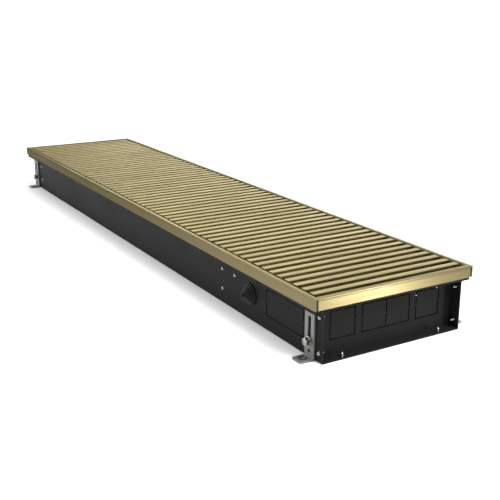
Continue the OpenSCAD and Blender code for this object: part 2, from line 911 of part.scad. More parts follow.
// Flanged bearing bush in the far end plate
module fan_bearing() {
    color(brass_col) translate([scroll_far_x, fan_y, fan_z]) rotate([0, -90, 0]) difference() {
        union() {
            translate([0, 0, -bearing_in]) cylinder(r = bearing_r, h = bearing_in + plate_t);
            translate([0, 0, plate_t]) cylinder(r = bearing_flange_r, h = bearing_flange_t);
        }
        translate([0, 0, -bearing_in - over])
            cylinder(r = shaft_r + run_gap, h = bearing_in + plate_t + bearing_flange_t + 2 * over);
    }
}

// One blade: an arc across the rotor's rim
module blade_outline() {
    tip_r = rotor_r - rim_w;
    mid_r = tip_r - blade_d / 2;
    centre_z = blade_r - blade_t;
    intersection() {
        difference() {
            circle(tip_r);
            circle(tip_r - blade_d);
        }
        translate([mid_r, centre_z]) difference() {
            circle(blade_r + blade_t / 2);
            circle(blade_r - blade_t / 2);
        }
        translate([tip_r - blade_d - over, centre_z - blade_r - blade_t])
            square([blade_d + 2 * over, blade_r]);
    }
}

module fan_rotor() {
    rotor_l = rotor_near_x - rotor_far_x;
    step = (rotor_l - disc_t) / (disc_n - 1);
    color(fin_col) {
        translate([0, fan_y, fan_z]) difference() {
            union() {
                for (i = [0:disc_n - 1]) along_x(rotor_far_x + i * step, disc_t) circle(rotor_r);
                for (i = [0:blade_n - 1]) along_x(rotor_far_x + disc_t / 2, rotor_l - disc_t)
                    rotate(i * 360 / blade_n) blade_outline();
                along_x(rotor_far_x - stub_l, stub_l + disc_t) circle(shaft_r);
            }
            along_x(rotor_near_x - disc_t - over, disc_t + 2 * over) circle(hub_r);
        }
    }
}

// Rubber hub between the rotor's near disc and the motor shaft
module rotor_hub() {
    color(rubber_col) translate([0, fan_y, fan_z]) along_x(rotor_near_x - hub_l, hub_l) difference() {
        circle(hub_r);
        circle(shaft_r);
    }
}

module motor_shaft() {
    start = rotor_near_x - hub_l;
    color(bright_col) translate([0, fan_y, fan_z])
        along_x(start, motor_x + motor_l / 4 - start) circle(shaft_r);
}

// Terminal box on the front wall between the fan's near bracket and the grommet

box_x0 = near_web_x + bracket_leg + slide_gap;
terminal_x = box_x0 + box_l / 2;
grommet_cx = box_x0 + box_l + grommet_beside + grommet_collar_r;

module terminal_box() {
    color(plastic_col) difference() {
        translate([box_x0, -inner_w, box_z]) cube([box_l, box_d, box_h]);
        translate([box_x0 + box_t, -inner_w + box_t, box_z + box_t])
            cube([box_l - 2 * box_t, box_d - 2 * box_t, box_h]);
        on_front(terminal_x, bracket_screw_z[1])
            translate([0, 0, -sheet_t - box_t - over]) cylinder(r = screw_r + seat_gap, h = box_t + 2 * over);
    }
}

module terminal_lid() {
    lid_z = box_z + box_h;
    color(plastic_col) difference() {
        union() {
            translate([box_x0, -inner_w, lid_z]) cube([box_l, box_d, lid_t]);
            translate([box_x0 + box_t + seat_gap, -inner_w + box_t + seat_gap, lid_z - box_t])
                cube([box_l - 2 * (box_t + seat_gap), box_d - 2 * (box_t + seat_gap), box_t]);
        }
        for (s = [-1, 1]) translate([lid_screw_cx(s), -inner_w + box_d / 2, lid_z])
            cylinder(r = screw_r + seat_gap, h = 2 * (lid_t + over), center = true);
    }
}

function lid_screw_cx(s) = box_x0 + box_l / 2 + s * (box_l / 2 - box_t - lid_screw_in);

module terminal_screws() {
    color(bright_col) for (s = [-1, 1])
        translate([lid_screw_cx(s), -inner_w + box_d / 2, box_z + box_h + lid_t])
            dome_screw(lid_t + box_t + tip_cone);
}

module terminal_block() {
    pole = block_l / block_poles;
    slot = pole / 2;
    block_x = box_x0 + (box_l - block_l) / 2;
    block_y = -inner_w + (box_d - block_d) / 2;
    color(block_col) translate([block_x, block_y, box_z + box_t]) difference() {
        cube([block_l, block_d, block_h]);
        for (i = [0:block_poles - 1]) translate([(i + 0.5) * pole, block_d / 2, block_h - slot])
            cylinder(r = slot / 2, h = slot + over);
    }
}

// Grille

function slat_x(i) = first_x - i * pitch;

module slat_outline() {
    difference() {
        union() {
            translate([-slat_w / 2, 0]) square([slat_w, slat_h - slat_r]);
            translate([slat_r - slat_w / 2, 0]) square([slat_w - 2 * slat_r, slat_h]);
            for (s = [-1, 1]) translate([s * (slat_w / 2 - slat_r), slat_h - slat_r]) circle(slat_r);
        }
        translate([slat_t - slat_w / 2, -over]) square([slat_w - 2 * slat_t, slat_h - slat_t + over]);
    }
}

module slat(i) {
    difference() {
        translate([slat_x(i), 0, slat_z]) along_y(slat_len) slat_outline();
        for (y = [-tie_y, 0, tie_y]) translate([slat_x(i), y, tie_z]) rotate([0, 90, 0])
            cylinder(r = tie_r + run_gap, h = slat_w + 2 * over, center = true);
    }
}

// Sleeves in the gap on the far side of slat i
module sleeves(i) {
    for (y = [-tie_y, 0, tie_y])
        translate([slat_x(i) - slat_w / 2 - run_gap - sleeve_l, y, tie_z]) rotate([0, 90, 0])
        difference() {
            cylinder(r = sleeve_r, h = sleeve_l);
            translate([0, 0, -over]) cylinder(r = tie_r + run_gap, h = sleeve_l + 2 * over);
        }
}

module grille_slats() {
    color(slat_col) for (i = [roll_n:slat_n - 1]) slat(i);
}

module grille_sleeves() {
    color(body_col) for (i = [roll_n:slat_n - 2]) sleeves(i);
}

// Tie wires through the field, with a ferrule against the last slat
module grille_ties() {
    start = slat_x(slat_n - 1) - slat_w / 2 - ferrule_l;
    end = slat_x(roll_n) + slat_w / 2;
    color(silver_col) for (y = [-tie_y, 0, tie_y]) translate([start, y, tie_z]) rotate([0, 90, 0]) {
        cylinder(r = tie_r, h = end - start);
        cylinder(r = ferrule_r, h = ferrule_l);
    }
}

// Slat k of the roll, counted from the field, with its sleeves and its length of the wires
module roll_slat(k) {
    i = roll_n - k;
    link_x = slat_x(i + 1) + slat_w / 2;
    color(slat_col) slat(i);
    color(body_col) sleeves(i);
    color(silver_col) for (y = [-tie_y, 0, tie_y]) translate([link_x, y, tie_z]) rotate([0, 90, 0])
        cylinder(r = tie_r, h = pitch);
}

trough_shell();
end_plate_near();
end_plate_far();
frame_side_front();
frame_side_rear();
frame_end_near();
frame_end_far();
frame_corner_keys();
grille_rest_strips();
cable_grommet();
end_plate_screws();
bottom_screws();
wall_screws();
foot_bolts();
foot_washers();
foot_weld_nuts();
foot_rivets();
exchanger_tubes();
exchanger_fins();
exchanger_brackets();
flow_connector();
return_connector();
air_vent();
fan_scroll();
fan_cutoff();
fan_end_plates();
fan_brackets();
fan_motor();
fan_bearing();
terminal_box();
terminal_lid();
terminal_block();
terminal_screws();
fan_rotor();
motor_shaft();
rotor_hub();
foot_near_front();
foot_near_rear();
foot_far_front();
foot_far_rear();
bush_near_front();
bush_near_rear();
bush_far_front();
bush_far_rear();
grille_slats();
grille_sleeves();
grille_ties();
roll_slat(1);  // roll_slat_01
roll_slat(2);  // roll_slat_02
roll_slat(3);  // roll_slat_03
roll_slat(4);  // roll_slat_04
roll_slat(5);  // roll_slat_05
roll_slat(6);  // roll_slat_06
roll_slat(7);  // roll_slat_07
roll_slat(8);  // roll_slat_08
roll_slat(9);  // roll_slat_09
roll_slat(10);  // roll_slat_10
roll_slat(11);  // roll_slat_11
roll_slat(12);  // roll_slat_12
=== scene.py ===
"""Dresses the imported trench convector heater: finishes, rounded and threaded pieces, and a plain studio."""

import json
import math

import bmesh
import bpy
import numpy as np
from bpy.props import FloatProperty, FloatVectorProperty, IntProperty, PointerProperty
from bpy.types import Operator, Panel, PropertyGroup
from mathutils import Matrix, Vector


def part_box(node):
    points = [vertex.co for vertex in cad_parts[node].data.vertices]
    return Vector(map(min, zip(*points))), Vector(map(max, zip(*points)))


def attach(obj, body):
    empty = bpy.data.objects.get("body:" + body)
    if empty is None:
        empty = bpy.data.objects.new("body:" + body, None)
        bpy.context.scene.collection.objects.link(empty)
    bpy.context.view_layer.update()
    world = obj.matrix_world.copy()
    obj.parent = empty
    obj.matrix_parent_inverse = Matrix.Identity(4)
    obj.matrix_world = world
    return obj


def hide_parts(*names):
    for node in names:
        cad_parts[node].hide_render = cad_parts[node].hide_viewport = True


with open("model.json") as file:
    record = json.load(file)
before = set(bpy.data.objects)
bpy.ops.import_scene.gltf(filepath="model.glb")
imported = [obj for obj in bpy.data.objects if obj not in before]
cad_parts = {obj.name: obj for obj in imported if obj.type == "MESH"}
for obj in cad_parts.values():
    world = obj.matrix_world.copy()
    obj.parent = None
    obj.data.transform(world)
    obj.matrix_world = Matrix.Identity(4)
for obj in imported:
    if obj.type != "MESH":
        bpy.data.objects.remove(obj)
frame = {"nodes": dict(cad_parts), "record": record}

bl_info = {
    "name": "Trench Convector Heater",
    "version": (1, 0, 0),
    "blender": (4, 5, 0),
    "location": "View3D > Sidebar > Heater",
    "description": "Dresses the packed heater and sets up its studio",
    "category": "Object",
}

MM = 0.001
TURN = 2.0 * math.pi
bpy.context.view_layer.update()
WALL_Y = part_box("foot_rivets")[1][1]    # outer face of the trough's side walls, where the rivets are flush
PIN = 0.2 * MM    # radius of the small flat that closes the middle of a turned end face
SCREW_R = 1.9 * MM    # shank of every sheet screw
PAN_HEAD = 2.1 * MM    # height of a sheet screw's head
CHAMFER = math.tan(math.radians(30.0))    # slope of the cut corners of bolts, nuts and connectors
SLOT_OF = {s["node"]: s["material_slot"] for s in frame["record"]["subparts"]}
BODY_OF = {n: b for b, members in frame["record"]["behaviour"]["bodies"].items() for n in members}
FINISHES = {}    # materials by name, filled by the first operator for those that follow


def length(label, text, millimetres, low=0.0, high=10000.0):
    """A size property, given in millimetres and kept in metres."""
    return FloatProperty(
        name=label, description=text, default=millimetres * MM, min=low * MM, max=high * MM,
        subtype="DISTANCE", unit="LENGTH", precision=4,
    )


def colour(label, text, rgb):
    """A colour property with its default."""
    return FloatVectorProperty(
        name=label, description=text, default=rgb, size=3, min=0.0, max=1.0, subtype="COLOR",
    )


class HeaterSizes(PropertyGroup):
    """Sizes of the detail that the looks add to the frame's solids."""

    thread_pitch: length("Sheet screw pitch", "Distance between a sheet screw's threads", 1.4)
    thread_depth: length("Sheet screw thread", "Depth of a sheet screw's thread", 0.35)
    recess_width: length("Recess width", "Width of the cross recess in a screw head", 1.0)
    recess_depth: length("Recess depth", "Depth of the cross recess in a screw head", 1.1)
    bolt_pitch: length("Bolt pitch", "Distance between a clamp bolt's threads", 1.0)
    bolt_depth: length("Bolt thread", "Depth of a clamp bolt's thread", 0.3)
    longer_tip: length("Longer screw point", "What the end plates' screws have beyond their solids", 2.5)
    edge: length("Edge rounding", "Rounding of sheet and profile edges", 0.22)
    soft_edge: length("Rubber edge", "Rounding of rubber and plastic edges", 0.5)
    slat_width: length("Slat width", "Width of a slat's top", 10.0)
    slat_wall: length("Slat wall", "Wall of the slat profile", 1.2)
    slat_edge: length("Slat edge", "Rounding of a slat's upper edges", 0.3)
    slat_clear: length("Slat end gap", "Length that each end of a slat lacks against its solid", 2.7)
    wire: length("Tie wire", "Radius of the tie wires", 1.5)
    sleeve: length("Sleeve", "Outer radius of the spacer sleeves", 4.0)
    tube_radius: length("Tube radius", "Radius of the water tubes", 6.0)
    blade_sheet: length("Blade thickness", "Thickness of a rotor blade at its middle", 0.9)
    fin_pitch: length("Fin pitch", "Distance between two fins", 3.0)
    fin_wave: length("Fin wave", "Height of the ripple in a fin", 0.45)
    fin_sheet: length("Fin thickness", "Thickness of a fin's sheet", 0.2)


class HeaterColours(PropertyGroup):
    """Base colours of the finishes."""

    coat: colour("Trough coat", "Black powder coat of the trough", (0.010, 0.010, 0.0105))
    gold: colour("Frame gold", "Gold anodised frame", (0.167, 0.141, 0.082))
    # Painted shade: the long profiles' grazing tint is set lower than the ends' and the slats', though all
    # are one anodised gold, so that the long sides read darker.
    long_edge_shade: colour("Long profiles at a low angle", "Tint of their grazing reflections", (0.50, 0.49, 0.44))
    # Painted light: the end profiles' grazing tint is set high, so that their faces read as lit.
    end_edge_light: colour("End profiles at a low angle", "Tint of their grazing reflections", (0.95, 0.90, 0.76))
    slat_edge: colour("Slats at a low angle", "Tint of their grazing reflections", (0.88, 0.84, 0.68))
    # Painted light: the end profiles are the frame's own gold, in a copy whose colour is tuned to the light
    # on the end faces.
    end_gold: colour("End frame gold", "Gold anodised end profiles", (0.172, 0.141, 0.070))
    slat: colour("Slat gold", "Pale gold anodised slats", (0.155, 0.130, 0.062))
    # Painted light and shade: the slat sides are the slats' own anodised gold, in a copy with a lighter
    # colour and a narrower gloss, set so that the gaps between slats read lit at the top and dark below.
    slat_side: colour("Slat sides", "Gold anodised sides of the slats, as extruded", (0.52, 0.45, 0.28))
    zinc: colour("Zinc", "Zinc-plated sheet", (0.155, 0.153, 0.148))
    bright: colour("Bright steel", "Nickel-plated fasteners", (0.28, 0.276, 0.266))
    # Painted highlight: the rivets are bright steel, and this pale dull colour stands in for the glint on
    # their domes.
    rivet: colour("Rivet", "Dull faces of the flush rivets", (0.62, 0.61, 0.59))
    rubber: colour("Rubber", "Black rubber", (0.006, 0.006, 0.006))
    copper: colour("Copper", "Drawn copper tube", (0.70, 0.30, 0.16))
    foil: colour("Fin aluminium", "Rolled aluminium of the fins and the rotor", (0.72, 0.73, 0.74))
    brass: colour("Brass", "Turned brass", (0.66, 0.46, 0.16))
    grey: colour("Grey plastic", "Moulded terminal box", (0.42, 0.43, 0.44))
    ivory: colour("Ivory plastic", "Terminal block", (0.62, 0.59, 0.48))
    motor: colour("Motor black", "Cast motor can", (0.02, 0.02, 0.022))
    floor: colour("Floor", "Plain pale floor", (0.80, 0.80, 0.80))


class HeaterStudio(PropertyGroup):
    """Camera and lights."""

    azimuth: FloatProperty(
        name="Azimuth", description="Camera's turn from the front, towards the connection end",
        default=math.radians(59.44), subtype="ANGLE", unit="ROTATION",
    )
    elevation: FloatProperty(
        name="Elevation", description="Camera's height angle above the floor",
        default=math.radians(17.10), subtype="ANGLE", unit="ROTATION",
    )
    field: FloatProperty(
        name="Field of view", description="Angle that the square picture takes in",
        default=math.radians(33.19), subtype="ANGLE", unit="ROTATION",
    )
    eye_x: length("Camera X", "Camera's place along the trough", 1378.1)
    eye_y: length("Camera Y", "Camera's place across the trough", -680.0, -10000.0)
    eye_z: length("Camera height", "Camera's height above the floor", 445.6)
    floor_reach: length("Floor reach", "Distance from the middle to the floor's edge", 60000.0, high=100000.0)
    sky: FloatProperty(name="Sky", description="Strength of the even light", default=0.18, min=0.0)
    horizon: FloatProperty(name="Horizon", description="Strength of the low white band", default=1.0, min=0.0)
    sides: IntProperty(name="Round steps", description="Faces round a small turned piece", default=40, min=12)


# Meshes. A solid is a pair: its points as an array, and its faces as lists of point numbers.


def smoothstep(low, high, value):
    """0 below low, 1 above high, and the cubic 3t^2 - 2t^3 between them."""
    t = np.clip((value - low) / (high - low), 0.0, 1.0)
    return t * t * (3.0 - 2.0 * t)


def tube_faces(rows, columns, loop=False):
    """Quads between the points of a grid whose columns close into rings; loop closes the rows as well."""
    last = rows if loop else rows - 1
    i, j = np.meshgrid(np.arange(last), np.arange(columns), indexing="ij")
    below, right = (i + 1) % rows, (j + 1) % columns
    quads = np.stack([i * columns + j, i * columns + right, below * columns + right, below * columns + j], -1)
    return quads.reshape(-1, 4).tolist()


def middle_of(low, high):
    """Middle of a box."""
    return (np.asarray(low) + np.asarray(high)) / 2


def around(steps):
    """Angles of a circle's points, as one row."""
    return np.linspace(0.0, TURN, steps, endpoint=False)[None, :]


def circles(radius, height, angle):
    """Rings round Z: a radius and a height for each ring, which may also vary with the angle."""
    radius, height = radius + 0.0 * angle, height + 0.0 * angle
    return np.stack([radius * np.cos(angle), radius * np.sin(angle), height], -1)


def outward(low, high):
    """Which side wall a solid is on, as -1 or 1, and the row axis that points out of that wall."""
    return (1.0, "+Y") if low[1] + high[1] > 0.0 else (-1.0, "-Y")


def shell(grid, loop=False):
    """A closed solid from a grid of points, rows of rings: quads between them, and a cap on each end ring."""
    rows, columns = grid.shape[:2]
    faces = tube_faces(rows, columns, loop)
    if not loop:
        faces.append(list(range(columns - 1, -1, -1)))
        faces.append(list(range((rows - 1) * columns, rows * columns)))
    return grid.reshape(-1, 3), faces


def joined(solids):
    """Several solids as one, their point numbers shifted past each other."""
    starts = np.cumsum([0] + [len(points) for points, _ in solids])
    faces = [[n + int(start) for n in face] for start, (_, faces) in zip(starts, solids) for face in faces]
    return np.concatenate([points for points, _ in solids]), faces


def moved(solid, place, axis="+Z"):
    """A solid turned from +Z to a row axis and then moved: each turn is one column order with its signs."""
    points, faces = solid
    x, y, z = points.T
    turned = {
        "+Z": (x, y, z), "-Z": (x, -y, -z), "+Y": (x, z, -y), "-Y": (x, -z, y),
        "+X": (z, y, -x), "-X": (-z, y, x),
    }[axis]
    return np.stack(turned, -1) + np.asarray(place, float), faces


def softened(outline, cut, steps=3, closed=True):
    """An outline whose corners are curves: the parabola from cut before the corner to cut after it."""
    corner = np.asarray(outline, float)
    before, after = np.roll(corner, 1, 0) - corner, np.roll(corner, -1, 0) - corner
    reach = np.full(len(corner), float(cut))
    for side in (before, after):
        reach = np.minimum(reach, 0.49 * np.linalg.norm(side, axis=1))
    start = corner + before / np.linalg.norm(before, axis=1)[:, None] * reach[:, None]
    end = corner + after / np.linalg.norm(after, axis=1)[:, None] * reach[:, None]
    t = np.linspace(0.0, 1.0, steps + 1)[None, :, None]
    curve = (1 - t)**2 * start[:, None] + 2 * t * (1 - t) * corner[:, None] + t**2 * end[:, None]
    if not closed:
        curve[0], curve[-1] = corner[0], corner[-1]
    return curve.reshape(-1, 2)


def lathe(profile, steps, loop=False):
    """Rings from a profile of radius and height pairs, each ring a circle round Z."""
    profile = np.asarray(profile, float)
    return shell(circles(profile[:, :1], profile[:, 1:], around(steps)), loop)


def round_bar(radius, span, soft, steps):
    """A round bar along +Z with soft rims at both ends."""
    outline = [(PIN, 0.0), (radius, 0.0), (radius, span), (PIN, span)]
    return lathe(softened(outline, soft, 2), steps)


def solids_of(node):
    """Lowest and highest corner of each separate solid of a CAD node.

    Points that triangles join take the lowest label among them, until no label changes.
    """
    mesh = frame["nodes"][node].data
    points = np.empty(len(mesh.vertices) * 3)
    mesh.vertices.foreach_get("co", points)
    mesh.calc_loop_triangles()
    corners = np.empty(len(mesh.loop_triangles) * 3, np.int64)
    mesh.loop_triangles.foreach_get("vertices", corners)
    spot, index = np.unique(np.round(points.reshape(-1, 3), 6), axis=0, return_inverse=True)
    triangle = index.reshape(-1)[corners].reshape(-1, 3)
    label = np.arange(len(spot))
    while True:
        lowest = label[triangle].min(1)
        fresh = label.copy()
        np.minimum.at(fresh, triangle.reshape(-1), np.repeat(lowest, 3))
        fresh = fresh[fresh]
        if np.array_equal(fresh, label):
            break
        label = fresh
    return [(spot[label == n].min(0), spot[label == n].max(0)) for n in np.unique(label)]


def finish_of(node):
    """The finish of a CAD node: its slot's, but the end profiles are brushed along their own length, in a
    copy of the gold whose colour and grazing tint paint the light on the end faces.
    """
    return FINISHES["frame_gold_end" if node.startswith("frame_end") else SLOT_OF[node]]


def make_piece(name, solid, node, finish=None, smooth=35.0):
    """Makes a piece of a solid, in the place of a CAD node."""
    points, faces = solid
    mesh = bpy.data.meshes.new(name)
    mesh.from_pydata(points, [], faces)
    mesh.validate()
    return place_mesh(name, mesh, node, finish, smooth)


def place_mesh(name, mesh, node, finish=None, smooth=35.0):
    """Links a mesh as a piece in the place of a CAD node, on its body, with a finish: if none is given, its
    slot's.

    Faces that meet at less than the angle smooth are shaded as one surface.
    """
    piece = bpy.data.objects.new(name, mesh)
    bpy.context.scene.collection.objects.link(piece)
    mesh.materials.clear()
    mesh.materials.append(finish or finish_of(node))
    mesh.shade_smooth()
    mesh.set_sharp_from_angle(angle=math.radians(smooth))
    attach(piece, BODY_OF[node])
    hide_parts(node)
    return piece


def shading_by_facing(piece, finish, low, high):
    """Gives a second material to the faces whose normal's upward part lies from low to high: a copy of their
    finish that paints light and shade by which way a face looks.
    """
    slack = 0.01
    piece.data.materials.append(finish)
    for face in piece.data.polygons:
        face.material_index = int(low - slack <= face.normal.z <= high + slack)


def rounded_copy(node, width, steps=2):
    """A copy of a CAD node's mesh with its flat faces joined and its sharp edges rounded."""
    made = bmesh.new()
    made.from_mesh(frame["nodes"][node].data)
    bmesh.ops.remove_doubles(made, verts=made.verts, dist=0.002 * MM)
    bmesh.ops.dissolve_limit(made, angle_limit=math.radians(1.0), verts=made.verts, edges=made.edges)
    mesh = bpy.data.meshes.new(node + "_rounded")
    made.to_mesh(mesh)
    made.free()
    piece = place_mesh(node + "_rounded", mesh, node)
    bevel = piece.modifiers.new("Edges", "BEVEL")
    bevel.width = width
    bevel.segments = steps
    bevel.limit_method = "ANGLE"
    bevel.angle_limit = math.radians(40.0)
    bevel.use_clamp_overlap = True
    bevel.harden_normals = True
    return piece


# Node materials


def add(tree, kind, inputs=(), **settings):
    """Adds a shader node, sets its properties, and fills or links its input sockets by name."""
    made = tree.nodes.new(kind)
    for key, value in settings.items():
        setattr(made, key, value)
    for key, value in dict(inputs).items():
        if isinstance(value, bpy.types.NodeSocket):
            tree.links.new(value, made.inputs[key])
        else:
            made.inputs[key].default_value = value
    return made


def noise(tree, scale, stretch=(1.0, 1.0, 1.0), detail=3.0, roughness=0.55):
    """Noise over the object's own coordinates, in waves per metre, with a factor for each axis."""
    where = add(tree, "ShaderNodeTexCoord").outputs["Object"]
    mapped = add(tree, "ShaderNodeMapping", {"Vector": where, "Scale": stretch}).outputs["Vector"]
    inputs = {"Vector": mapped, "Scale": scale, "Detail": detail, "Roughness": roughness}
    return add(tree, "ShaderNodeTexNoise", inputs).outputs["Fac"]


def between(tree, factor, low, high):
    """Maps a factor of 0.3 to 0.7, the usual span of noise, to a range of values."""
    inputs = {"Value": factor, "From Min": 0.3, "From Max": 0.7, "To Min": low, "To Max": high}
    return add(tree, "ShaderNodeMapRange", inputs).outputs["Result"]


def tinted(tree, factor, rgb, spread):
    """A colour that a factor makes a little darker and lighter, by spread either way."""
    dark = tuple(c * (1.0 - spread) for c in rgb) + (1.0,)
    light = tuple(min(1.0, c * (1.0 + spread)) for c in rgb) + (1.0,)
    ramp = add(tree, "ShaderNodeValToRGB", {"Fac": factor})
    ramp.color_ramp.elements[0].position, ramp.color_ramp.elements[0].color = 0.3, dark
    ramp.color_ramp.elements[1].position, ramp.color_ramp.elements[1].color = 0.7, light
    return ramp.outputs["Color"]


def relief(tree, height, distance, strength=1.0, under=None):
    """A bump of a height in metres, on top of another bump if one is given."""
    inputs = {"Height": height, "Distance": distance, "Strength": strength}
    if under is not None:
        inputs["Normal"] = under
    return add(tree, "ShaderNodeBump", inputs).outputs["Normal"]


def new_finish(name, **sockets):
    """A material, its node tree and its Principled BSDF, whose constant sockets are set by name."""
    made = bpy.data.materials.new(name)
    made.use_nodes = True
    shader = made.node_tree.nodes["Principled BSDF"]
    for key, value in sockets.items():
        shader.inputs[key.replace("_", " ")].default_value = value
    return made, made.node_tree, shader


def link(tree, shader, **sockets):
    """Links outputs to the shader's sockets by name."""
    for key, value in sockets.items():
        tree.links.new(value, shader.inputs[key.replace("_", " ")])


def powder_coat(name, rgb):
    """Satin powder coat: fine orange peel, faint clouding and a little dust."""
    made, tree, shader = new_finish(name, Specular_IOR_Level=0.045)
    cloud = noise(tree, 14.0, detail=4.0)
    peel = noise(tree, 900.0, detail=2.0)
    grit = noise(tree, 3200.0, detail=1.0)
    link(
        tree, shader,
        Base_Color=tinted(tree, cloud, rgb, 0.10),
        Roughness=between(tree, cloud, 0.44, 0.52),
        Normal=relief(tree, grit, 0.00002, 0.5, relief(tree, peel, 0.00008, 0.7)),
    )
    return made


def brushed(name, rgb, along, edge, rough=0.34, stretch=0.97, spread=0.07, depth=0.00003):
    """Brushed and anodised metal: streaks drawn out along one axis, and gloss spread across them.

    The tangent is the sum of the two axes across the brushing, so on each face it lies across the streaks.
    The edge colour tints what the metal reflects at a low angle.
    """
    made, tree, shader = new_finish(name, Metallic=1.0, Anisotropic=stretch, Specular_Tint=(*edge, 1.0))
    across = tuple(0.0 if axis == along else 1.0 for axis in "XYZ")
    tangent = add(
        tree, "ShaderNodeVectorTransform", {"Vector": across},
        vector_type="VECTOR", convert_from="OBJECT", convert_to="WORLD",
    )
    fine = [60.0 if axis != along else 1.0 for axis in "XYZ"]
    broad = [12.0 if axis != along else 1.0 for axis in "XYZ"]
    hair = noise(tree, 40.0, fine, detail=4.0, roughness=0.7)
    band = noise(tree, 9.0, broad, detail=2.0)
    link(
        tree, shader,
        Base_Color=tinted(tree, hair, rgb, spread),
        Roughness=between(tree, band, rough - 0.04, rough + 0.05),
        Normal=relief(tree, hair, depth, 0.6),
        Tangent=tangent.outputs["Vector"],
    )
    return made


def zinc_plate(name, rgb):
    """Zinc-plated sheet: a faint spangle of crystals, with rolled streaks and soft gloss."""
    made, tree, shader = new_finish(name, Metallic=0.5)
    where = add(tree, "ShaderNodeTexCoord").outputs["Object"]
    crystal = add(tree, "ShaderNodeTexVoronoi", {"Vector": where, "Scale": 420.0}, feature="F1")
    spangle = add(tree, "ShaderNodeRGBToBW", {"Color": crystal.outputs["Color"]}).outputs["Val"]
    film = noise(tree, 60.0, detail=4.0)
    link(
        tree, shader,
        Base_Color=tinted(tree, film, rgb, 0.07),
        Roughness=between(tree, spangle, 0.42, 0.50),
        Normal=relief(tree, film, 0.00005, 0.4),
    )
    return made


def bright_metal(name, rgb, rough=0.16):
    """Plated or turned metal: nearly smooth, with fine handling marks."""
    made, tree, shader = new_finish(name, Metallic=1.0)
    marks = noise(tree, 700.0, (1.0, 1.0, 3.0), detail=4.0, roughness=0.65)
    link(
        tree, shader,
        Base_Color=tinted(tree, marks, rgb, 0.05),
        Roughness=between(tree, marks, rough, rough + 0.10),
        Normal=relief(tree, marks, 0.00002, 0.5),
    )
    return made


def black_rubber(name, rgb):
    """Moulded rubber: dull, with a fine grain and a trace of bloom."""
    made, tree, shader = new_finish(name, Specular_IOR_Level=0.22)
    grain = noise(tree, 1800.0, detail=2.0)
    bloom = noise(tree, 120.0, detail=3.0)
    link(
        tree, shader,
        Base_Color=tinted(tree, bloom, rgb, 0.25),
        Roughness=between(tree, bloom, 0.50, 0.66),
        Normal=relief(tree, grain, 0.00006, 0.8),
    )
    return made


def moulded_plastic(name, rgb):
    """Moulded plastic: even colour, spark-eroded grain and a soft gloss."""
    made, tree, shader = new_finish(name, Specular_IOR_Level=0.5)
    grain = noise(tree, 1500.0, detail=2.0)
    tone = noise(tree, 40.0, detail=3.0)
    link(
        tree, shader,
        Base_Color=tinted(tree, tone, rgb, 0.04),
        Roughness=between(tree, grain, 0.42, 0.55),
        Normal=relief(tree, grain, 0.00005, 0.5),
    )
    return made


def floor_finish(name, rgb):
    """Plain pale floor: matt, with the faintest mottle."""
    made, tree, shader = new_finish(name, Roughness=0.9, Specular_IOR_Level=0.1)
    link(tree, shader, Base_Color=tinted(tree, noise(tree, 3.0), rgb, 0.01))
    return made


def make_finishes(colours):
    """Every finish by name; the anodised ones come in a version for each brushing direction, and the one gold
    also in copies for the long profiles, the ends, the tops and the slat sides that paint light and shade.
    The rivets' pale finish is a painted glint.
    """
    slats = {"along": "Y", "edge": colours.slat_edge, "spread": 0.05, "depth": 0.00001}
    return {
        "body_sheet": powder_coat("powder_coat", colours.coat),
        "frame_gold": brushed("frame_gold_long", colours.gold, "X", colours.long_edge_shade),
        # Painted light and shade: the frame profiles' tops, one gold with their sides, take the slats' colour
        # and grazing tint because they face up as the slats do.
        "frame_gold_top": brushed("frame_gold_top", colours.slat, "X", colours.slat_edge),
        "end_gold_top": brushed("end_gold_top", colours.slat, "Y", colours.slat_edge, stretch=0.9),
        "frame_gold_end": brushed("frame_gold_end", colours.end_gold, "Y", colours.end_edge_light),
        "slat_gold": brushed("slat_gold", colours.slat, rough=0.31, stretch=0.85, **slats),
        "slat_side": brushed("slat_side", colours.slat_side, rough=0.22, stretch=0.6, **slats),
        "zinc_steel": zinc_plate("zinc_plate", colours.zinc),
        "bright_steel": bright_metal("bright_steel", colours.bright),
        "dull_rivet": zinc_plate("dull_rivet", colours.rivet),
        "black_rubber": black_rubber("black_rubber", colours.rubber),
        "copper": bright_metal("drawn_copper", colours.copper, rough=0.24),
        "fin_aluminium": bright_metal("rolled_aluminium", colours.foil, rough=0.28),
        "brass": bright_metal("turned_brass", colours.brass, rough=0.22),
        "grey_plastic": moulded_plastic("grey_plastic", colours.grey),
        "block_plastic": moulded_plastic("ivory_plastic", colours.ivory),
        "motor_black": powder_coat("motor_black", colours.motor),
    }


class HEATER_OT_finishes(Operator):
    """Gives every CAD node the finish of its material slot"""

    bl_idname = "heater.finishes"
    bl_label = "Finishes"

    def execute(self, context):
        FINISHES.update(make_finishes(context.scene.heater_colours))
        for node, obj in frame["nodes"].items():
            obj.data.materials.clear()
            obj.data.materials.append(finish_of(node))
        return {"FINISHED"}


def thread_rings(low, high, radius, pitch, depth, steps, tip=0.0):
    """Rings of a threaded shank from height low to high.

    The radius at a height and an angle is the shank's, less depth times a triangle wave of
    height / pitch - angle / turn. Over the first tip of its length the whole tapers to a point.
    """
    rings_per_turn, steepness, blunt = 6.0, 1.6, 0.08
    height, angle = np.arange(low, high, pitch / rings_per_turn)[:, None], around(steps)
    phase = (height / pitch - angle / TURN) % 1.0
    groove = depth * (1.0 - np.abs(2.0 * phase - 1.0) * steepness).clip(0.0, 1.0)
    taper = np.clip((height - low) / tip, blunt, 1.0) if tip else 1.0
    return circles((radius - groove) * taper, height, angle)


def screw_shank(reach, top, sizes, steps, tip):
    """The threaded shank of a sheet screw, from its point to just under the head."""
    return thread_rings(-reach, top, SCREW_R, sizes.thread_pitch, sizes.thread_depth, steps, tip)


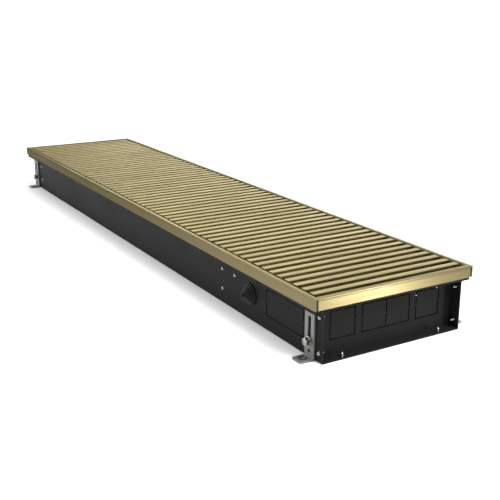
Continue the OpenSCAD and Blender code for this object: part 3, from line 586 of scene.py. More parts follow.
def dome_screw(head_r, shank_l, sizes, steps):
    """A pan-head sheet screw along +Z, its head above zero, as one closed surface.

    The head is a spherical cap. Its cross recess is the cap pushed down by recess_depth where
    the point lies in either arm of the cross, with soft edges, and shallower away from the middle.
    """
    angle = around(steps)
    shank = screw_shank(shank_l, -0.3 * MM, sizes, steps, 0.3 * shank_l)
    sphere = (head_r**2 + PAN_HEAD**2) / (2.0 * PAN_HEAD)
    rim = [SCREW_R / head_r, 0.96, 1.0]    # the head's underside and its edge, as shares of the head's radius
    r = (head_r * np.concatenate([rim, np.linspace(0.985, 0.04, 14)]))[:, None]
    z = np.sqrt(np.maximum(sphere**2 - r**2, 0.0)) - (sphere - PAN_HEAD)
    z[:len(rim)] = np.array([0.0, 0.0, 0.12 * PAN_HEAD])[:, None]
    x, y = r * np.cos(angle), r * np.sin(angle)
    half, arm, soft = 0.5 * sizes.recess_width, 0.62 * head_r, 0.12 * head_r
    across = 1.0 - smoothstep(half, half + soft, np.abs(np.stack([x, y])))
    along = 1.0 - smoothstep(arm - soft, arm + soft, np.abs(np.stack([y, x])))
    cross = (across * along).max(0) * (1.0 - 0.45 * np.clip(r / arm, 0.0, 1.0))
    cap = z - sizes.recess_depth * np.where(np.arange(len(r))[:, None] < len(rim), 0.0, cross)
    return shell(np.concatenate([shank, circles(r, cap, angle)]))


class HEATER_OT_screws(Operator):
    """Makes the sheet screws with threads, points and cross recesses"""

    bl_idname = "heater.screws"
    bl_label = "Screws"

    def execute(self, context):
        sizes, steps = context.scene.heater_sizes, context.scene.heater_studio.sides
        made = {"end_plate_screws": [], "wall_screws": [], "bottom_screws": [], "terminal_screws": []}
        for node in ("end_plate_screws", "wall_screws"):
            longer = sizes.longer_tip if node == "end_plate_screws" else 0.0
            for low, high in solids_of(node):
                side, axis = outward(low, high)
                x, _, z = middle_of(low, high)
                width, tall = high[0] - low[0], high[1] - low[1]
                screw = dome_screw(width / 2, tall - PAN_HEAD + longer, sizes, steps)
                made[node].append(moved(screw, (x, side * WALL_Y, z), axis))
        countersunk = np.array([(1.9, -1.0), (3.0, -0.1), (2.9, 0.0), (0.2, 0.0)]) * MM
        head = circles(countersunk[:, :1], countersunk[:, 1:], around(steps))
        for low, high in solids_of("bottom_screws"):
            shank = screw_shank(high[2] - low[2], -MM, sizes, steps, 3 * MM)
            place = (*middle_of(low, high)[:2], low[2])
            made["bottom_screws"].append(moved(shell(np.concatenate([shank, head])), place, "-Z"))
        for low, high in solids_of("terminal_screws"):
            place = (*middle_of(low, high)[:2], high[2] - PAN_HEAD)
            screw = dome_screw((high[0] - low[0]) / 2, high[2] - low[2] - PAN_HEAD, sizes, steps)
            made["terminal_screws"].append(moved(screw, place))
        for node, screws in made.items():
            make_piece(node + "_threaded", joined(screws), node)
        return {"FINISHED"}


def hex_radius(flats, angle):
    """Radius of a hexagon: half the flats over the cosine of the angle from the nearest flat's middle."""
    return 0.5 * flats / np.cos((angle + math.pi / 6) % (math.pi / 3) - math.pi / 6)


def hexagon_cut(flats, angle):
    """A hexagon's radius, and how deep a 30 degree cone cuts its corners, from 0.48 of the flats outwards."""
    six = hex_radius(flats, angle)
    return six, (six - 0.48 * flats).clip(0.0) * CHAMFER


def ring_stack(pairs, angle):
    """Rings round Z as one grid, from pairs of radius and height, either of which may vary with the angle."""
    return np.concatenate([circles(radius, height, angle) for radius, height in pairs])


def hex_bolt(flats, head_h, shank_r, shank_l, plain_l, sizes, steps):
    """A hexagon bolt along +Z, its head above zero.

    The head's top corners are cut by a cone of 30 degrees that starts just inside the flats' circle.
    """
    angle = around(steps)
    six, inner = hex_radius(flats, angle), 0.475 * flats
    top = head_h - (six - inner) * CHAMFER
    shank = thread_rings(-shank_l, -plain_l, shank_r, sizes.bolt_pitch, sizes.bolt_depth, steps)
    head = ring_stack([
        (shank_r, -plain_l), (shank_r, 0.0), (inner, 0.0), (inner, 0.06 * head_h),
        (six, 0.10 * head_h), (six, top), (inner, head_h), (0.1 * inner, head_h),
    ], angle)
    return shell(np.concatenate([shank, head]))


def spring_washer(inner_r, outer_r, thick, rise, steps):
    """A split washer: a rectangle with soft corners carried once round Z while it climbs by rise."""
    section = softened([(inner_r, 0.0), (outer_r, 0.0), (outer_r, thick), (inner_r, thick)], 0.18 * thick)
    slit = math.radians(4.0)
    angle = np.linspace(slit, TURN - slit, steps)[:, None]
    return shell(circles(section[None, :, 0], section[None, :, 1] + rise * angle / TURN, angle)[::-1])


def flush_rivet():
    """A rivet along +Z: its shank behind the wall's face, which is at zero, and a low dome that closes it."""
    profile = [(1.2, -2.3), (1.9, -2.1), (2.0, -1.0), (2.5, -1.0), (2.5, -0.6), (2.2, -0.3), (1.6, -0.06),
               (0.9, 0.05), (0.3, 0.08)]    # millimetres
    return lathe(np.array(profile) * MM, 40)


class HEATER_OT_clamps(Operator):
    """Makes the clamp bolts with their flat and split washers, and the flush rivets"""

    bl_idname = "heater.clamps"
    bl_label = "Clamps"

    def execute(self, context):
        sizes = context.scene.heater_sizes
        bolt_r, head_h, hole_r = 3.0 * MM, 4.0 * MM, 3.2 * MM
        disc_r, disc_h, lock_r, lock_h, lock_rise = 7.0 * MM, 1.6 * MM, 5.4 * MM, 1.7 * MM, 0.25 * MM
        lock = spring_washer(hole_r, lock_r, lock_h - lock_rise, lock_rise, 48)
        outline = [(hole_r, 0.0), (disc_r, 0.0), (disc_r, disc_h), (hole_r, disc_h)]
        disc = lathe(softened(outline, 0.3 * MM), 48, loop=True)
        bolts, washers, rivets = [], [], []
        for low, high in solids_of("foot_bolts"):
            side, axis = outward(low, high)
            x, _, z = middle_of(low, high)
            seat = max(abs(low[1]), abs(high[1])) - head_h
            flats, shank = high[2] - low[2], (high[1] - low[1]) - head_h
            bolt = hex_bolt(flats, head_h, bolt_r, shank, seat - WALL_Y, sizes, 60)
            bolts.append(moved(bolt, (x, side * seat, z), axis))
            washers.append(moved(lock, (x, side * (seat - lock_h), z), axis))
            washers.append(moved(disc, (x, side * (seat - lock_h - disc_h), z), axis))
        make_piece("clamp_bolts", joined(bolts), "foot_bolts")
        make_piece("clamp_washers", joined(washers), "foot_washers")
        rivet = flush_rivet()
        for low, high in solids_of("foot_rivets"):
            side, axis = outward(low, high)
            x, _, z = middle_of(low, high)
            rivets.append(moved(rivet, (x, side * WALL_Y, z), axis))
        # The pale dull finish paints the rivets' glint.
        make_piece("flush_rivets", joined(rivets), "foot_rivets", FINISHES["dull_rivet"])
        return {"FINISHED"}


class HEATER_OT_feet(Operator):
    """Makes the foot brackets with rounded sheet edges, and their damping bushes"""

    bl_idname = "heater.feet"
    bl_label = "Feet"

    def execute(self, context):
        edge = 1.6 * context.scene.heater_sizes.edge
        # outlines in millimetres above the floor
        outline = [(3.25, 0.15), (4.4, 0.15), (4.4, 2.55), (5.6, 2.55), (5.6, 3.7), (3.25, 3.7)]
        bush = lathe(softened(outline, 0.45) * MM, 40, loop=True)
        outline = [(3.02, 0.1), (3.24, 0.1), (3.24, 3.66), (4.7, 3.66), (4.7, 4.0), (3.02, 4.0)]
        lining = lathe(softened(outline, 0.15) * MM, 40, loop=True)
        for corner in ("near_front", "near_rear", "far_front", "far_rear"):
            rounded_copy(f"foot_{corner}", edge, 3)
            node = f"bush_{corner}"
            place = (*middle_of(*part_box(node))[:2], 0.0)
            make_piece(node + "_moulded", moved(bush, place), node)
            eyelet = make_piece(node + "_eyelet", moved(lining, place), node, FINISHES["bright_steel"])
        return {"FINISHED"}


def stepped_grommet(outer_r, proud, steps=5):
    """The cable grommet along +Z: drafted steps from the wall's face at zero, a neck and a lip behind."""
    draft, tip_r, bore_r = 0.4 * MM, 6.0 * MM, 3.5 * MM
    neck_r, lip_r, lip_end = 12.0 * MM, 14.5 * MM, -3.5 * MM
    rise, fall = proud / steps, (outer_r - tip_r) / (steps - 1)
    outline = []
    for i in range(steps):
        outline += [(outer_r - i * fall, i * rise), (outer_r - i * fall - draft, (i + 1) * rise)]
    outline += [(bore_r, proud), (bore_r, lip_end), (lip_r, lip_end), (lip_r, -MM), (neck_r, -MM),
                (neck_r, 0.0)]
    return lathe(softened(outline, 0.5 * MM, 4), 72, loop=True)


class HEATER_OT_grommet(Operator):
    """Makes the stepped cable grommet with soft moulded steps"""

    bl_idname = "heater.grommet"
    bl_label = "Cable grommet"

    def execute(self, context):
        low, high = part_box("cable_grommet")
        x, _, z = middle_of(low, high)
        ring = moved(stepped_grommet((high[0] - low[0]) / 2, -WALL_Y - low[1]), (x, -WALL_Y, z), "-Y")
        make_piece("cable_grommet_moulded", ring, "cable_grommet")
        return {"FINISHED"}


class HEATER_OT_frame(Operator):
    """Rounds the edges of the frame profiles, and gives the faces that look up a copy of the gold in the
    slats' colour and grazing tint: painted light and shade on the tops
    """

    bl_idname = "heater.frame"
    bl_label = "Frame"

    def execute(self, context):
        width = context.scene.heater_sizes.edge
        for node in ("frame_side_front", "frame_side_rear", "frame_end_near", "frame_end_far"):
            top = "end_gold_top" if node.startswith("frame_end") else "frame_gold_top"
            shading_by_facing(rounded_copy(node, width), FINISHES[top], 0.7, 1.0)
        return {"FINISHED"}


def pipe(path, radius, steps):
    """A round pipe along a path of points, closed at both ends.

    Each ring lies across the path's direction. Its first spoke is the last ring's, less the part of it
    that lies along the path, so the pipe doesn't twist.
    """
    path = np.asarray(path, float)
    direction = np.gradient(path, axis=0)
    direction /= np.linalg.norm(direction, axis=1)[:, None]
    spoke = np.cross(direction[0], (0.3, 0.5, 0.8))
    spokes = []
    for ahead in direction:
        spoke = spoke - ahead * np.dot(spoke, ahead)
        spoke = spoke / np.linalg.norm(spoke)
        spokes.append(spoke)
    spokes = np.array(spokes)
    across = np.cross(direction, spokes)
    angle = around(steps)[:, :, None]
    reach = np.broadcast_to(radius, len(path))[:, None, None]
    return shell(path[:, None] + reach * (np.cos(angle) * spokes[:, None] + np.sin(angle) * across[:, None]))


def sheet_run(outline, low, high, soft):
    """A Y-Z outline carried along X from low to high, its end rings drawn in by soft for a broken edge."""
    outline = np.asarray(outline, float)
    middle, half = middle_of(outline.min(0), outline.max(0)), (outline.max(0) - outline.min(0)) / 2
    drawn = middle + (outline - middle) * (1.0 - soft / half)
    grid = []
    for x, ring in ((low, drawn), (low + soft, outline), (high - soft, outline), (high, drawn)):
        grid.append(np.column_stack([np.full(len(ring), x), ring]))
    return shell(np.array(grid))


def slat_solid(low, high, sizes):
    """A slat along Y in the box from low to high: an open channel whose top edges are rounded.

    The outline lies in X and Z. The end rings are drawn in a little, as a sawn and deburred end is.
    Both ends stop slat_clear short of the box, for the dark gap along the frame.
    """
    half, wall, tall = (high[0] - low[0]) / 2, sizes.slat_wall, high[2] - low[2]
    outside = [(-half, 0.0), (-half, tall), (half, tall), (half, 0.0)]
    inside = [(half - wall, 0.0), (half - wall, tall - wall), (wall - half, tall - wall), (wall - half, 0.0)]
    top = softened(outside, sizes.slat_edge, 5, closed=False)[1:-1]
    inner = softened(inside, 0.4 * MM, 2, closed=False)[1:-1]
    top, inner = (curve[np.abs(curve[:, 1]) > 0.5 * tall] for curve in (top, inner))    # upper corners alone
    foot = softened(outside + inside, 0.2 * wall, 1)    # two points for each of the eight corners
    outline = np.concatenate([foot[0:2], top, foot[6:8], foot[8:10], inner, foot[14:16]])
    x, burr = (low[0] + high[0]) / 2, 0.15 * MM
    start, end = low[1] + sizes.slat_clear, high[1] - sizes.slat_clear
    rings = []
    for place, draw in ((start, burr), (start + burr, 0.0), (end - burr, 0.0), (end, burr)):
        shrink = 1.0 - draw / np.array([half, 0.5 * tall])
        flat = (outline - (0.0, 0.5 * tall)) * shrink + (0.0, 0.5 * tall)
        rings.append(np.column_stack([flat[:, 0] + x, np.full(len(flat), place), flat[:, 1] + low[2]]))
    return shell(np.array(rings))


def sleeve_solid(x0, x1, y, z, outer, bore):
    """A spacer sleeve along X, slightly barrelled and with soft rims."""
    span, rim = x1 - x0, 0.96 * outer
    outline = [(bore, 0.0), (rim, 0.0), (outer, 0.5 * span), (rim, span), (bore, span)]
    return moved(lathe(softened(outline, 0.09 * outer, 2), 20, loop=True), (x0, y, z), "+X")


def tie_wire(radius, ferrule, span):
    """A tie wire along +Z, with a ferrule on its low end that is crimped in the middle."""
    crimp = 4.0 * MM
    outline = [(PIN, 0.0), (ferrule, 0.0), (ferrule, 0.3 * crimp), (0.86 * ferrule, 0.5 * crimp),
               (ferrule, 0.7 * crimp), (ferrule, crimp), (radius, crimp), (radius, span), (PIN, span)]
    return lathe(softened(outline, 0.3 * MM, 2), 20)


class HEATER_OT_grille(Operator):
    """Makes the slats, the spacer sleeves and the tie wires of the roll-up grille"""

    bl_idname = "heater.grille"
    bl_label = "Grille"

    def execute(self, context):
        sizes = context.scene.heater_sizes
        # The sides take a copy of the slat gold that paints the light and shade in the gaps between slats.
        sides = (FINISHES["slat_side"], -1.0, 0.1)    # every face but the top and its rounded edges
        field = [slat_solid(low, high, sizes) for low, high in solids_of("grille_slats")]
        slats = make_piece("slats_field", joined(field), "grille_slats")
        shading_by_facing(slats, *sides)
        sleeves = []
        for low, high in solids_of("grille_sleeves"):
            outer = (high[1] - low[1]) / 2
            sleeves.append(sleeve_solid(low[0], high[0], *middle_of(low, high)[1:], outer, sizes.wire))
        make_piece("sleeves_field", joined(sleeves), "grille_sleeves")
        ties, lines = [], []
        for low, high in solids_of("grille_ties"):
            y, z = middle_of(low, high)[1:]
            wire = tie_wire(sizes.wire, (high[1] - low[1]) / 2, high[0] - low[0])
            ties.append(moved(wire, (low[0], y, z), "+X"))
            lines.append((y, z))
        make_piece("ties_field", joined(ties), "grille_ties")
        for node in sorted(n for n in frame["nodes"] if n.startswith("roll_slat_")):
            low, high = (np.array(corner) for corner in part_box(node))
            far_face, span = high[0] - sizes.slat_width, high[0] - low[0]
            slat = slat_solid((far_face, low[1], low[2]), high, sizes)
            shading_by_facing(make_piece(node + "_bar", slat, node), *sides)
            wire = round_bar(sizes.wire, span, 0.3 * MM, 20)
            gap, links, rings = 0.05 * MM, [], []
            for y, z in lines:
                rings.append(sleeve_solid(low[0] + gap, far_face - gap, y, z, sizes.sleeve, sizes.wire))
                links.append(moved(wire, (low[0], y, z), "+X"))
            for part, solids, slot in (("_sleeves", rings, "black_rubber"), ("_wires", links, "zinc_steel")):
                make_piece(node + part, joined(solids), node, FINISHES[slot])
        return {"FINISHED"}


class HEATER_OT_strips(Operator):
    """Makes the rubber rest strips, with two grooves along the face that the slats lie on"""

    bl_idname = "heater.strips"
    bl_label = "Rest strips"

    def execute(self, context):
        made = []
        for low, high in solids_of("grille_rest_strips"):
            y, width, tall = low[1], high[1] - low[1], high[2] - low[2]
            step, top = width / 7.0, []    # the grooves lie in the third and the fifth of seven even bands
            for i in (2, 4):
                shares = ((i, tall), (i + 0.2, 0.55 * tall), (i + 0.8, 0.55 * tall), (i + 1, tall))
                top += [(y + share * step, z) for share, z in shares]
            outline = np.array([(y + width, 0.0), (y, 0.0), (y, tall)] + top + [(y + width, tall)])
            outline[:, 1] += low[2]
            made.append(sheet_run(softened(outline, 0.25 * MM, 2)[::-1], low[0], high[0], 0.2 * MM))
        make_piece("rest_strips_moulded", joined(made), "grille_rest_strips")
        return {"FINISHED"}


# The rear wall's knock-out: the box that holds its slits, and how far they go away from the connection end,
# so that no light shows through two slits in a row.
REAR_KNOCKOUT = ((464.0 * MM, 0.9 * WALL_Y, 21.0 * MM), (556.5 * MM, 1.1 * WALL_Y, 62.0 * MM))
REAR_KNOCKOUT_STEP = -4.0 * MM


class HEATER_OT_sheet(Operator):
    """Breaks the edges of the trough, the end plates and every other folded or stamped sheet"""

    bl_idname = "heater.sheet"
    bl_label = "Sheet metal"

    def execute(self, context):
        edge = context.scene.heater_sizes.edge
        for node in ("end_plate_near", "end_plate_far", "frame_corner_keys", "exchanger_brackets",
                     "fan_scroll", "fan_cutoff", "fan_end_plates", "fan_brackets"):
            rounded_copy(node, edge)
        trough = rounded_copy("trough_shell", edge)
        low, high = REAR_KNOCKOUT
        for vertex in trough.data.vertices:
            if all(a < v < b for a, v, b in zip(low, vertex.co, high)):
                vertex.co.x += REAR_KNOCKOUT_STEP
        return {"FINISHED"}


def serpentine_path(start, far, near, flow_y, back_y, low_z, high_z):
    """The line through the four tubes: out below, back above, across, out above and back below.

    Each bend is half a circle of 25 points, a cosine and a sine of the angle from 0 to a half turn.
    """
    drop, reach = (high_z - low_z) / 2, (back_y - flow_y) / 2
    turn, stub = np.linspace(0.0, math.pi, 25), 2.0 * MM
    path = [(start, flow_y, low_z), (start - stub, flow_y, low_z)]
    path += [(far - drop * math.sin(t), flow_y, low_z + drop - drop * math.cos(t)) for t in turn]
    path += [(near + reach * math.sin(t), flow_y + reach - reach * math.cos(t), high_z) for t in turn]
    path += [(far - drop * math.sin(t), back_y, high_z - drop + drop * math.cos(t)) for t in turn]
    return path + [(start - stub, back_y, low_z), (start, back_y, low_z)]


def brazed_socket(radius):
    """The collar of a tube's end over a bend: an outline of radius and place along the tube, round Z."""
    inside = 0.94 * radius
    rim = np.array([(0.3, -2.8), (0.5, -2.4), (0.5, 0.1), (0.2, 0.5)]) * MM + (radius, 0.0)
    return lathe(np.concatenate([[(inside, -2.8 * MM)], rim, [(inside, 0.6 * MM)]]), 28, loop=True)


def rippled_fin(low, high, sizes):
    """A fin at X zero, across the box from low to high: on both faces X is a sine of Y with eight waves."""
    y, ripples = np.linspace(low[1], high[1], 49), 8.0
    wave = sizes.fin_wave * (1.0 + np.sin(ripples * TURN * (y - y[0]) / (y[-1] - y[0])))
    front, rear = np.column_stack([wave, y]), np.column_stack([wave + sizes.fin_sheet, y])[::-1]
    ring = np.concatenate([front, rear])
    return shell(np.array([np.column_stack([ring, np.full(len(ring), z)]) for z in (high[2], low[2])]))


class HEATER_OT_exchanger(Operator):
    """Makes the copper serpentine with its brazed sockets, the rippled fins and their drawn collars"""

    bl_idname = "heater.exchanger"
    bl_label = "Heat exchanger"

    def execute(self, context):
        sizes = context.scene.heater_sizes
        radius = sizes.tube_radius
        flow_y, back_y = (middle_of(*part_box(node + "_connector"))[1] for node in ("flow", "return"))
        fins_low, fins_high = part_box("exchanger_fins")
        tubes_low, tubes_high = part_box("exchanger_tubes")
        low_z = middle_of(*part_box("flow_connector"))[2]
        high_z = fins_low[2] + fins_high[2] - low_z
        far = tubes_low[0] + radius + (high_z - low_z) / 2
        near = middle_of(*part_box("air_vent"))[0] - (back_y - flow_y) / 2

        path = serpentine_path(tubes_high[0], far, near, flow_y, back_y, low_z, high_z)
        parts, ring = [pipe(path, radius, 28)], brazed_socket(radius)
        for y in (flow_y, back_y):
            parts.append(moved(ring, (near, y, high_z), "+X"))
            parts += [moved(ring, (far, y, z), "-X") for z in (low_z, high_z)]
        make_piece("serpentine", joined(parts), "exchanger_tubes", smooth=50.0)

        places = np.arange(fins_low[0], fins_high[0] - sizes.fin_sheet, sizes.fin_pitch)
        fin = rippled_fin(fins_low, fins_high, sizes)
        fins = [moved(fin, (x, 0.0, 0.0)) for x in places]
        make_piece("rippled_fins", joined(fins), "exchanger_fins")
        # a collar flares at its fin and narrows along the tube: three places, and what each adds to the tube
        along = np.concatenate([x + np.array([0.5, 1.1, 2.9]) * MM for x in places])
        flare = radius + np.tile([1.0 * MM, 0.35 * MM, 0.25 * MM], len(places))
        collars = []
        for y in (flow_y, back_y):
            for z in (low_z, high_z):
                line = np.column_stack([along, np.full(len(along), y), np.full(len(along), z)])
                collars.append(pipe(line, flare, 14))
        make_piece("fin_collars", joined(collars), "exchanger_fins", smooth=60.0)
        return {"FINISHED"}


def tapped_connector(span, steps):
    """A pipe connector along +Z: a hexagon grip, a round nose, and a tapped bore down to the tube's end."""
    tube, bore, seat, lead, flats = 6.05 * MM, 9.3 * MM, 15.0 * MM, 0.8 * MM, 24.0 * MM
    angle, half, grip = around(steps), 0.5 * flats, span - 8.0 * MM
    six, cut = hexagon_cut(flats, angle)
    outside = ring_stack([
        (tube, 0.0), (0.47 * flats, 0.0), (six, cut + 0.2 * MM), (six, grip - cut),
        (half, grip), (half, span - lead), (half - 0.7 * MM, span), (bore + 0.9 * MM, span),
    ], angle)
    thread = thread_rings(seat, span - lead, bore + 0.3 * MM, 1.8 * MM, 0.75 * MM, steps)[::-1]
    return shell(np.concatenate([outside, thread, circles(tube, seat, angle)]), loop=True)


def knurled_valve(tall, steps):
    """The bleed valve along +Z: a body whose grip is cut in at every third step round it, and a cap."""
    soft, body, cap, rise, grip = 0.4 * MM, 4.0 * MM, 2.6 * MM, tall - 2.5 * MM, 5.0 * MM
    knurled = body - 0.12 * MM * (np.arange(steps)[None, :] % 3 == 0)
    return shell(ring_stack([
        (3.0 * MM, 0.0), (body, 0.3 * MM), (body, rise - grip), (knurled, rise - grip + soft),
        (knurled, rise - soft), (body - soft, rise), (cap, rise), (cap, tall - soft), (cap - soft, tall),
        (PIN, tall),
    ], around(steps)))


def weld_nut(flats, thick, steps):
    """A hexagon nut along +Z, with its corners cut and its hole broken on the upper face alone."""
    hole, angle = 3.02 * MM, around(steps)
    six, cut = hexagon_cut(flats, angle)
    return shell(ring_stack([
        (hole, 0.0), (six, 0.0), (six, thick - cut), (0.47 * flats, thick), (3.4 * MM, thick),
        (hole, thick - 0.4 * MM),
    ], angle), loop=True)


class HEATER_OT_fittings(Operator):
    """Makes the tapped pipe connectors, the bleed valve and the weld nuts"""

    bl_idname = "heater.fittings"
    bl_label = "Fittings"

    def execute(self, context):
        steps = 72
        for node in ("flow_connector", "return_connector"):
            low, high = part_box(node)
            place = (low[0], *middle_of(low, high)[1:])
            solid = moved(tapped_connector(high[0] - low[0], steps), place, "+X")
            make_piece(node + "_tapped", solid, node)

        low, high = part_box("air_vent")
        vent = moved(knurled_valve(high[2] - low[2], steps), (*middle_of(low, high)[:2], low[2]))
        make_piece("bleed_valve", vent, "air_vent")

        nuts = []
        for low, high in solids_of("foot_weld_nuts"):
            side, _ = outward(low, high)
            x, _, z = middle_of(low, high)
            place = (x, side * max(abs(low[1]), abs(high[1])), z)
            nut = weld_nut(high[2] - low[2], high[1] - low[1], steps)
            nuts.append(moved(nut, place, "-Y" if side > 0.0 else "+Y"))
        make_piece("weld_nuts", joined(nuts), "foot_weld_nuts")
        return {"FINISHED"}


def span_and_radius(node):
    """Length along X of a CAD node that is round about that axis, and its radius."""
    low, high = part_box(node)
    return high[0] - low[0], (high[1] - low[1]) / 2


def rotor_blades(outer, start, end, centre, sheet, count=24):
    """The rotor's blades, each an outline carried along X from start to end.

    The outline is an arc near the rotor's outer radius, as thick as the sheet at its middle and half that
    at its ends by a sine. For each blade it is turned about the centre by a matrix of cosine and sine.
    """
    theta = np.radians(np.linspace(-137.0, -43.0, 9))
    thick = sheet * (0.5 + 0.5 * np.sin(math.pi * np.linspace(0.0, 1.0, len(theta))))[:, None]
    middle, bend = np.array([outer - 3.1 * MM, 2.6 * MM]), 3.4 * MM
    arc = np.column_stack([np.cos(theta), np.sin(theta)])
    outline = np.concatenate([middle + arc * (bend + thick / 2), (middle + arc * (bend - thick / 2))[::-1]])
    blades = []
    for turn in np.arange(count) * TURN / count:
        spin = np.array([[math.cos(turn), math.sin(turn)], [-math.sin(turn), math.cos(turn)]])
        ring = outline @ spin + centre
        blades.append(shell(np.array([np.column_stack([np.full(len(ring), x), ring]) for x in (start, end)])))
    return blades


def rotor_disc(outer, disc, inner):
    """A disc of the rotor round Z: a thin web in a full rim, with a hole where inner is more than PIN."""
    web, flange = 14.0 * MM, 15.0 * MM
    outline = [(inner, 0.2 * disc), (web, 0.2 * disc), (flange, 0.0), (outer, 0.0), (outer, disc),
               (flange, disc), (web, 0.8 * disc), (inner, 0.8 * disc)]
    return lathe(softened(outline, 0.3 * MM, 2), 72, loop=inner > PIN)


def rubber_hub(span, r):
    """The hub that carries the rotor on the motor's shaft: a collar in a flared body with a dished end."""
    hole, collar, dish = 3.0 * MM, 5.0 * MM, 0.85 * span
    outline = [(hole, 0.0), (collar, 0.0), (5.5 * MM, 0.25 * span), (r - 1.5 * MM, 0.3 * span),
               (r, 0.4 * span), (r, span), (r - 2.0 * MM, span), (r - 2.5 * MM, dish), (collar, dish),
               (4.6 * MM, span), (hole, span)]
    return lathe(softened(outline, 0.5 * MM, 3), 48, loop=True)


def motor_shaft(span, r):
    """The motor's shaft."""
    return round_bar(r, span, 0.4 * MM, 40)


def flanged_bearing(span, r):
    """The bearing of the rotor's stub: a bush with a rim."""
    hole, rim, step = 3.05 * MM, 1.5 * MM, 2.0 * MM
    outline = [(hole, 0.0), (r, 0.0), (r, rim), (r - step, rim), (r - step, span), (hole, span)]
    return lathe(softened(outline, 0.4 * MM, 2), 48, loop=True)


def ribbed_can(span, r):
    """The motor's can: a bored nose for the shaft, and ribs round the body with grooves between them."""
    hole, nose, nose_r, groove, count = 3.05 * MM, 4.8 * MM, 9.0 * MM, 1.2 * MM, 9
    rib = (span - nose) / (2 * count + 1)
    outline = [(PIN, 0.4 * span), (hole, 0.4 * span), (hole, 0.0), (nose_r, 0.0), (nose_r, nose)]
    for i in range(count + 1):
        x = nose + 2 * i * rib
        outline += [(r, x), (r, x + rib)] if i in (0, count) else [(r - groove, x), (r, x), (r, x + rib)]
        if i < count:
            outline += [(r - groove, x + rib)]
    return lathe(softened(outline + [(PIN, span)], 0.5 * MM, 2), 80)


class HEATER_OT_fan(Operator):
    """Makes the cross-flow rotor with its curved blades, and the hub, shaft, bearing and motor"""

    bl_idname = "heater.fan"
    bl_label = "Fan"

    def execute(self, context):
        low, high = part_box("fan_rotor")
        _, y, z = middle_of(low, high)
        outer, stub, stub_r, disc, discs = (high[1] - low[1]) / 2, 13.0 * MM, 3.0 * MM, 1.5 * MM, 8
        start, end = low[0] + stub, high[0]
        sheet = context.scene.heater_sizes.blade_sheet
        parts = rotor_blades(outer, start + disc / 2, end - disc / 2, (y, z), sheet)
        for i, x in enumerate(np.linspace(start, end - disc, discs)):
            inner = 9.0 * MM if i == discs - 1 else PIN    # the last disc has the hole for the hub
            parts.append(moved(rotor_disc(outer, disc, inner), (x, y, z), "+X"))
        parts.append(moved(round_bar(stub_r, stub + disc / 2, 0.5 * MM, 32), (low[0], y, z), "+X"))
        make_piece("rotor_bladed", joined(parts), "fan_rotor")
        for name, node, shape in (
            ("rotor_hub_moulded", "rotor_hub", rubber_hub),
            ("motor_shaft_turned", "motor_shaft", motor_shaft),
            ("bearing_turned", "fan_bearing", flanged_bearing),
            ("motor_can", "fan_motor", ribbed_can),
        ):
            solid = moved(shape(*span_and_radius(node)), (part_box(node)[0][0], y, z), "+X")
            make_piece(name, solid, node)
        return {"FINISHED"}


class HEATER_OT_terminals(Operator):
    """Rounds the moulded edges of the terminal box, its lid and its block"""

    bl_idname = "heater.terminals"
    bl_label = "Terminal box"

    def execute(self, context):
        soft = context.scene.heater_sizes.soft_edge
        for node in ("terminal_box", "terminal_lid", "terminal_block"):
            rounded_copy(node, soft, 3)
        return {"FINISHED"}


# Each glow: azimuth, elevation, inner and outer angle in degrees, and strength.
GLOWS = (
    (230.0, 18.0, 10.0, 32.0, 4.3),
    (270.0, 65.0, 10.0, 35.0, 1.5),
    (98.0, 20.0, 10.0, 30.0, 2.3),
    (145.0, 16.5, 11.0, 23.0, 3.8),
    (0.0, 90.0, 5.0, 40.0, 2.0),
)
# Each area light: name, place and target in metres, width, depth, and power in watts. The strip lies lower
# than the slats' tops, so that it lights the end profile and not them.
AREAS = (
    ("overhead", (1.6, 0.4, 1.8), (0.3, 0.0, 0.0), 1.0, 1.0, 70.0),
    ("strip", (2.21, 1.14, 0.045), (0.6, -0.045, 0.045), 0.18, 0.08, 21.0),
)


def fade(tree, value, start, end, low, high):
    """Maps a value between start and end to a range, by the smoothstep 3t^2 - 2t^3."""
    inputs = {"Value": value, "From Min": start, "From Max": end, "To Min": low, "To Max": high}
    return add(tree, "ShaderNodeMapRange", inputs, interpolation_type="SMOOTHSTEP").outputs["Result"]


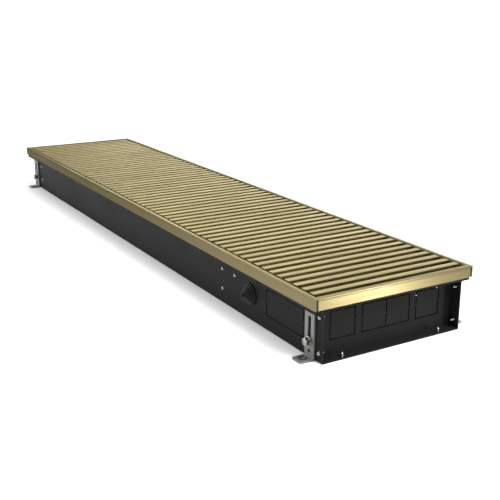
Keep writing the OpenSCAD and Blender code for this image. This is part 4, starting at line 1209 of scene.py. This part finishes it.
def soft_sky(base, horizon, glows):
    """A world of even light with broad glows, and a white band at the horizon behind the floor's far edge.

    A glow's strength is full within inner degrees of its direction and falls to nothing at outer,
    by the smoothstep 3t^2 - 2t^3 of the cosine between the two. The band is full up to 2 degrees above
    and below the horizon and ends at 4 degrees, by the same smoothstep of the direction's height.
    Where the world itself is in the picture, it is nowhere darker than the band, as a studio's white wall.
    """
    world = bpy.data.worlds.new("studio")
    world.use_nodes = True
    tree = world.node_tree
    where = add(tree, "ShaderNodeTexCoord").outputs["Generated"]
    total = add(tree, "ShaderNodeValue")
    total.outputs[0].default_value = base
    total = total.outputs[0]
    height = add(tree, "ShaderNodeSeparateXYZ", {"Vector": where}).outputs["Z"]
    height = add(tree, "ShaderNodeMath", {0: height}, operation="ABSOLUTE").outputs[0]
    band = fade(tree, height, math.sin(math.radians(2.0)), math.sin(math.radians(4.0)), horizon, 0.0)
    total = add(tree, "ShaderNodeMath", {0: total, 1: band}, operation="ADD").outputs[0]
    for azimuth, elevation, inner, outer, strength in glows:
        turn, rise = math.radians(azimuth), math.radians(elevation)
        towards = (math.cos(turn) * math.cos(rise), math.sin(turn) * math.cos(rise), math.sin(rise))
        cosine = add(tree, "ShaderNodeVectorMath", operation="DOT_PRODUCT")
        tree.links.new(where, cosine.inputs[0])
        cosine.inputs[1].default_value = towards
        none, full = math.cos(math.radians(outer)), math.cos(math.radians(inner))
        glow = fade(tree, cosine.outputs["Value"], none, full, 0.0, strength)
        total = add(tree, "ShaderNodeMath", {0: total, 1: glow}, operation="ADD").outputs[0]
    seen = add(tree, "ShaderNodeLightPath").outputs["Is Camera Ray"]
    wall = add(tree, "ShaderNodeMath", {0: seen, 1: horizon}, operation="MULTIPLY").outputs[0]
    total = add(tree, "ShaderNodeMath", {0: total, 1: wall}, operation="MAXIMUM").outputs[0]
    tree.nodes["Background"].inputs["Color"].default_value = (1.0, 1.0, 1.0, 1.0)
    tree.links.new(total, tree.nodes["Background"].inputs["Strength"])
    return world


def soft_box(name, place, target, width, depth, power):
    """A rectangular area light at a place, turned towards a target and left out of the picture itself."""
    light = bpy.data.lights.new(name, "AREA")
    light.shape, light.size, light.size_y, light.energy = "RECTANGLE", width, depth, power
    lamp = bpy.data.objects.new(name, light)
    lamp.location = place
    lamp.visible_camera = False
    lamp.rotation_euler = (Vector(target) - Vector(place)).to_track_quat("-Z", "Y").to_euler()
    bpy.context.scene.collection.objects.link(lamp)


class HEATER_OT_stage(Operator):
    """Sets up the floor, the lights and the camera"""

    bl_idname = "heater.stage"
    bl_label = "Stage"

    def execute(self, context):
        studio, scene = context.scene.heater_studio, context.scene
        reach = studio.floor_reach
        mesh = bpy.data.meshes.new("floor")
        square = [(-reach, -reach, 0), (reach, -reach, 0), (reach, reach, 0), (-reach, reach, 0)]
        mesh.from_pydata(square, [], [(0, 1, 2, 3)])
        floor = bpy.data.objects.new("floor", mesh)
        scene.collection.objects.link(floor)
        mesh.materials.append(floor_finish("pale_floor", context.scene.heater_colours.floor))

        scene.world = soft_sky(studio.sky, studio.horizon, GLOWS)
        for name, place, target, width, depth, power in AREAS:
            soft_box(name, place, target, width, depth, power)

        lens = bpy.data.cameras.new("camera")
        lens.sensor_width = 36.0
        lens.angle = studio.field
        lens.clip_end = 50.0
        camera = bpy.data.objects.new("camera", lens)
        camera.location = (studio.eye_x, studio.eye_y, studio.eye_z)
        camera.rotation_euler = (math.pi / 2 - studio.elevation, 0.0, studio.azimuth)
        scene.collection.objects.link(camera)
        scene.camera = camera
        scene.view_settings.view_transform = "Standard"
        return {"FINISHED"}


OPERATORS = (
    HEATER_OT_finishes, HEATER_OT_stage, HEATER_OT_sheet, HEATER_OT_frame, HEATER_OT_grille, HEATER_OT_strips,
    HEATER_OT_feet, HEATER_OT_clamps, HEATER_OT_screws, HEATER_OT_grommet, HEATER_OT_exchanger,
    HEATER_OT_fittings, HEATER_OT_fan, HEATER_OT_terminals,
)


class HEATER_PT_tools(Panel):
    """Lists the heater's pieces, sizes and colours in the sidebar"""

    bl_idname = "HEATER_PT_tools"
    bl_label = "Trench heater"
    bl_space_type = "VIEW_3D"
    bl_region_type = "UI"
    bl_category = "Heater"

    def draw(self, context):
        for step in OPERATORS:
            self.layout.operator(step.bl_idname)
        for group in (context.scene.heater_sizes, context.scene.heater_colours, context.scene.heater_studio):
            box = self.layout.box()
            for name in type(group).__annotations__:
                box.prop(group, name)


GROUPS = {"heater_sizes": HeaterSizes, "heater_colours": HeaterColours, "heater_studio": HeaterStudio}


def register():
    """Registers the classes and hangs the settings on the scene."""
    for group in GROUPS.values():
        bpy.utils.register_class(group)
    for step in OPERATORS:
        bpy.utils.register_class(step)
    bpy.utils.register_class(HEATER_PT_tools)
    for name, group in GROUPS.items():
        setattr(bpy.types.Scene, name, PointerProperty(type=group))


def unregister():
    """Takes back what register did, in the opposite order."""
    for name in reversed(GROUPS):
        delattr(bpy.types.Scene, name)
    bpy.utils.unregister_class(HEATER_PT_tools)
    for step in reversed(OPERATORS):
        bpy.utils.unregister_class(step)
    for group in reversed(GROUPS.values()):
        bpy.utils.unregister_class(group)


def corners(box):
    """A box as plain lists of numbers."""
    return [[float(v) for v in corner] for corner in box]


def main():
    """Runs every operator in order."""
    register()
    for step in OPERATORS:
        family, name = step.bl_idname.split(".")
        getattr(getattr(bpy.ops, family), name)()


if __name__ == "__main__":
    main()
